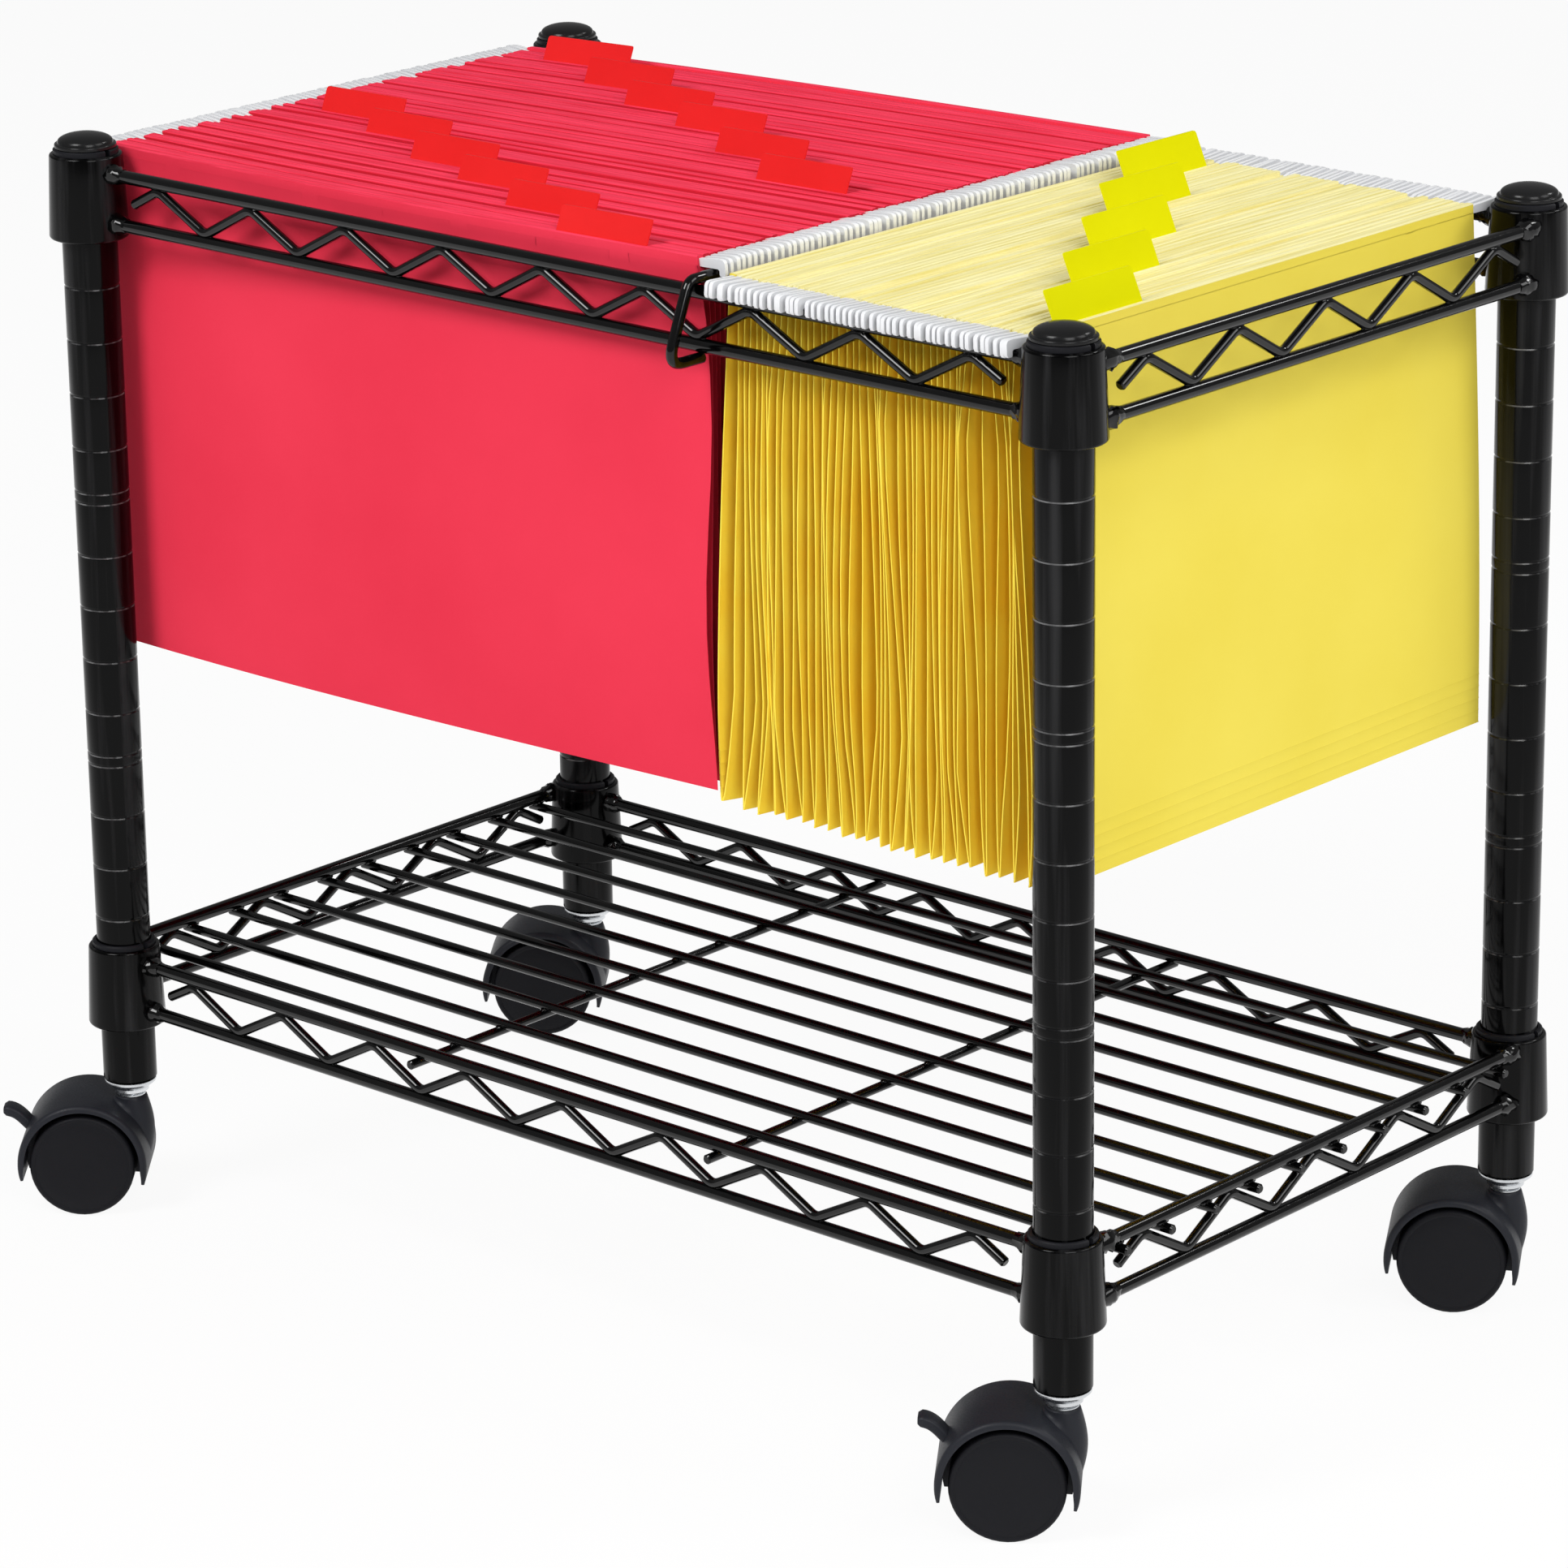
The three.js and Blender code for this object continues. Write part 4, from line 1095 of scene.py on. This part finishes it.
def folder_pack(place, count, first, last, start, end, top, line, cleft, sunk, scores=()):
    """Folders stacked from first to last; cleft paints the hems' sides, sunk hems leave room for tabs."""
    pack = Shape()
    hem = (last - first) / count / 2
    foot = top - FOLDER_HEIGHT
    final = 2 * count - 1
    lines = [first + index * hem for index in range(2 * count + 1)]
    for index in range(1, final + 1):
        lines[index] += chance.uniform(-HEM_SHIFT, HEM_SHIFT) * hem
    for index in range(final + 1):
        if index % 2 == 0:
            fold = first + (index + 1) * hem + chance.uniform(-FOLD_SHIFT, FOLD_SHIFT) * hem
            fold -= OUTER_FOLD * hem * ((index == 0) - (index == final - 1))
            drop = chance.uniform(0.0, FOLD_DROP)
        low = lines[index]
        high = lines[index + 1]
        s = (low + high) / 2
        slip = chance.uniform(-SHEET_SLIP, SHEET_SLIP)
        settle = chance.choice(HEM_SETTLES) + (TAB_ROOM if index in sunk else 0.0)
        gap = line * chance.choice(HEM_GAPS)
        calm = SWAY * between(0, CALM_DEPTH, min(s - first, last - s))
        outermost = index in (0, final)
        if outermost:
            s = low + CARD / 2 if index == 0 else high - CARD / 2
            slip = settle = calm = 0.0
        ends = (start + slip, end + slip)
        near = FACE_PAINT if index == 0 else INSIDE_SHADE_PAINT
        far = FACE_PAINT if index == final else INSIDE_SHADE_PAINT
        dents = scores if outermost else ()
        pack.add(*sheet_part(place, s, fold, *ends, top - SHEET_TUCK, foot + drop, calm, near, far, dents))
        low += 0 if index == 0 else gap / 2
        high -= 0 if index == final else gap / 2
        pack.add(*hem_part(place, low, high, *ends, top - settle, FACE_PAINT if outermost else cleft))
    return pack


def hook_rows(place, count, first, last, top, rows):
    """Two hooks for each folder at each end; rows gives the card's edge, the rail, its top and its radius."""
    hooks = Shape()
    half = (last - first) / count / 2
    for index in range(2 * count):
        for edge, rail, rail_top, radius in rows:
            middle = first + (index + 0.5) * half + chance.uniform(-HOOK_SHIFT, HOOK_SHIFT) * half
            thickness = half * HOOK_SHARE * chance.uniform(*HOOK_SPREAD)
            hooks.add(*hook_part(place, middle, edge, rail, rail_top, radius, top, thickness))
    return hooks


red_stack = (red_place, RED_COUNT, -RED_DEPTH, RED_DEPTH)
sunk = [2 * folder - 1 for folder in RED_TAB_FOLDERS]
# The red hems' sides take the dark inside red: painted shade between the hems
cards = folder_pack(*red_stack, RED_LEFT, RED_RIGHT, RED_TOP, RED_LINE, INSIDE_SHADE_PAINT, sunk)
paints = [RED, RED_HEM_LIT, RED_INSIDE_SHADE, RED]
piece("red_folder_cards", cards, paints, "red_pack", ["red_folders"], "red_card")
rows = [
    (RED_LEFT, -END_X, RED_TOP - HOOK_CROWN, RAIL_RADIUS),
    (RED_RIGHT, DIVIDER_X, RED_TOP - HOOK_CROWN, DIVIDER_RADIUS),
]
piece("red_folder_hooks", hook_rows(*red_stack, RED_TOP, rows), [HOOKS, HOOK_SIDE_SHADE], "red_pack")
tabs = Shape()
hem = RED_DEPTH / RED_COUNT
for index, folder in enumerate(RED_TAB_FOLDERS):
    start = RED_LEFT + RED_TAB_INSET + index % RED_TABS_PER_ROW * RED_TAB_PITCH
    middle = -RED_DEPTH + (2 * folder + RED_TAB_PLACE) * hem
    tabs.add(tab_part(red_place, middle, start, start + RED_TAB_WIDTH, RED_TOP, RED_TAB_HEIGHT, RED_TAB_LEAN))
piece("red_folder_tabs", tabs, [RED_TAB], "red_pack", slot="red_card")

yellow_stack = (yellow_place, YELLOW_COUNT, YELLOW_LEFT, YELLOW_RIGHT)
sunk = [2 * folder + 2 for folder in YELLOW_TAB_FOLDERS]
ends = (-YELLOW_EDGE, YELLOW_BACK)
cards = folder_pack(*yellow_stack, *ends, YELLOW_TOP, YELLOW_LINE, HEM_LIGHT_PAINT, sunk, SCORES)
paints = [YELLOW, YELLOW_HEM_LIT, GOLD_INSIDE_SHADE, EDGE_HIGHLIGHT_GOLD]
piece("yellow_folder_cards", cards, paints, "yellow_pack", ["yellow_folders"], "yellow_card")
rows = [(side * YELLOW_EDGE, side * LONG_Y, YELLOW_TOP - HOOK_CROWN, RAIL_RADIUS) for side in (-1, 1)]
piece("yellow_folder_hooks", hook_rows(*yellow_stack, YELLOW_TOP, rows), [HOOKS, HOOK_SIDE_SHADE], "yellow_pack")
tabs = Shape()
hem = (YELLOW_RIGHT - YELLOW_LEFT) / YELLOW_COUNT / 2
for index, folder in enumerate(YELLOW_TAB_FOLDERS):
    middle = YELLOW_LEFT + (2 * folder + YELLOW_TAB_PLACE) * hem
    end = YELLOW_EDGE - YELLOW_TAB_INSET - index * YELLOW_TAB_PITCH
    start = end - YELLOW_TAB_WIDTH
    tabs.add(tab_part(yellow_place, middle, start, end, YELLOW_TOP, YELLOW_TAB_HEIGHT, YELLOW_TAB_LEAN))
piece("yellow_folder_tabs", tabs, [YELLOW_TAB], "yellow_pack", slot="yellow_card")

# Floor, in metres, and light
FLOOR_SIZE = 80.0
FLOOR_DROP = 0.0002
FLOOR_GRAIN = 3.0
FLOOR_DARK = (0.96, 0.96, 0.96)
FLOOR_LIGHT = (0.98, 0.98, 0.98)
FLOOR_ROUGH = 0.9
FLOOR_SPECULAR = 0.1
FLOOR_GLOW = 0.93
SKY_LEVEL = 0.22
WHITE = (1, 1, 1, 1)


def seen_rays(tree):
    """1 for rays that show the background: to the camera, in gloss and through clear things."""
    rays = tree.nodes.new("ShaderNodeLightPath")
    shown = rays.outputs["Is Camera Ray"]
    for name in ("Is Glossy Ray", "Is Transmission Ray"):
        both = tree.nodes.new("ShaderNodeMath")
        both.operation = "MAXIMUM"
        tree.links.new(shown, both.inputs[0])
        tree.links.new(rays.outputs[name], both.inputs[1])
        shown = both.outputs["Value"]
    return shown


floor_corners = [(-1, -1), (1, -1), (1, 1), (-1, 1)]
floor_points = [(a * FLOOR_SIZE, b * FLOOR_SIZE, -FLOOR_DROP) for a, b in floor_corners]
floor_mesh = bpy.data.meshes.new("floor")
floor_mesh.from_pydata(floor_points, [], [(0, 1, 2, 3)])
floor = bpy.data.objects.new("floor", floor_mesh)
bpy.context.scene.collection.objects.link(floor)
floor_material, tree = begin("floor_white")
shader = tree.nodes["Principled BSDF"]
floor_colour = ramp(tree, speckle(tree, FLOOR_GRAIN), FLOOR_DARK, FLOOR_LIGHT)
tree.links.new(floor_colour, shader.inputs["Base Color"])
shader.inputs["Roughness"].default_value = FLOOR_ROUGH
shader.inputs["Specular IOR Level"].default_value = FLOOR_SPECULAR
glow = tree.nodes.new("ShaderNodeEmission")
glow.inputs["Color"].default_value = WHITE
glow.inputs["Strength"].default_value = 1.0
part = tree.nodes.new("ShaderNodeMath")
part.operation = "MULTIPLY"
part.inputs[1].default_value = FLOOR_GLOW
tree.links.new(seen_rays(tree), part.inputs[0])
blend = tree.nodes.new("ShaderNodeMixShader")
tree.links.new(part.outputs["Value"], blend.inputs["Fac"])
tree.links.new(shader.outputs["BSDF"], blend.inputs[1])
tree.links.new(glow.outputs["Emission"], blend.inputs[2])
tree.links.new(blend.outputs["Shader"], tree.nodes["Material Output"].inputs["Surface"])
floor_mesh.materials.append(floor_material)

world = bpy.data.worlds.new("studio")
world.use_nodes = True
bpy.context.scene.world = world
sky = world.node_tree.nodes["Background"]
sky.inputs["Color"].default_value = WHITE
sky.inputs["Strength"].default_value = SKY_LEVEL


def lamp(name, place, aim, width, height, power):
    """A rectangular lamp; places and sizes are in metres, power in watts."""
    light = bpy.data.lights.new(name, "AREA")
    light.shape = "RECTANGLE"
    light.size = width
    light.size_y = height
    light.energy = power
    thing = bpy.data.objects.new(name, light)
    thing.location = place
    thing.rotation_euler = (Vector(aim) - Vector(place)).to_track_quat("-Z", "Y").to_euler()
    bpy.context.scene.collection.objects.link(thing)


lamp("front", place=(-0.35, -2.3, 2.6), aim=(0, 0, 0.3), width=1.2, height=1.3, power=60)
lamp("key", place=(2.65, -1.4, 2.1), aim=(0, 0, 0.3), width=1.5, height=1.5, power=44)
lamp("right", place=(2.4, 0.9, 2.2), aim=(0, 0, 0.3), width=1.3, height=1.3, power=21)
lamp("rim", place=(1.2, 1.9, 2.2), aim=(0.2, 0, 0.3), width=0.6, height=0.4, power=12)

# Camera, found by fitting the posts, collars and rails to the photograph
AZIMUTH = math.radians(41.859)
ELEVATION = math.radians(18.128)
ROLL = math.radians(-0.794)
LENS = 144.11
SENSOR = 36
NEAREST = 0.05
FARTHEST = 200
EYE = (1816.35, -2036.44, 1121.77)
level = math.cos(ELEVATION)
back = Vector((math.sin(AZIMUTH) * level, -math.cos(AZIMUTH) * level, math.sin(ELEVATION)))
right = Vector((math.cos(AZIMUTH), math.sin(AZIMUTH), 0))
up = back.cross(right)
turned_right = right * math.cos(ROLL) + up * math.sin(ROLL)
turned_up = up * math.cos(ROLL) - right * math.sin(ROLL)
camera_data = bpy.data.cameras.new("camera")
camera_data.lens = LENS
camera_data.sensor_width = SENSOR
camera_data.clip_start = NEAREST
camera_data.clip_end = FARTHEST
camera = bpy.data.objects.new("camera", camera_data)
facing = Matrix((turned_right, turned_up, back)).transposed().to_4x4()
camera.matrix_world = Matrix.Translation(at(*EYE)) @ facing
bpy.context.scene.collection.objects.link(camera)
bpy.context.scene.camera = camera
bpy.context.scene.view_settings.view_transform = "Standard"
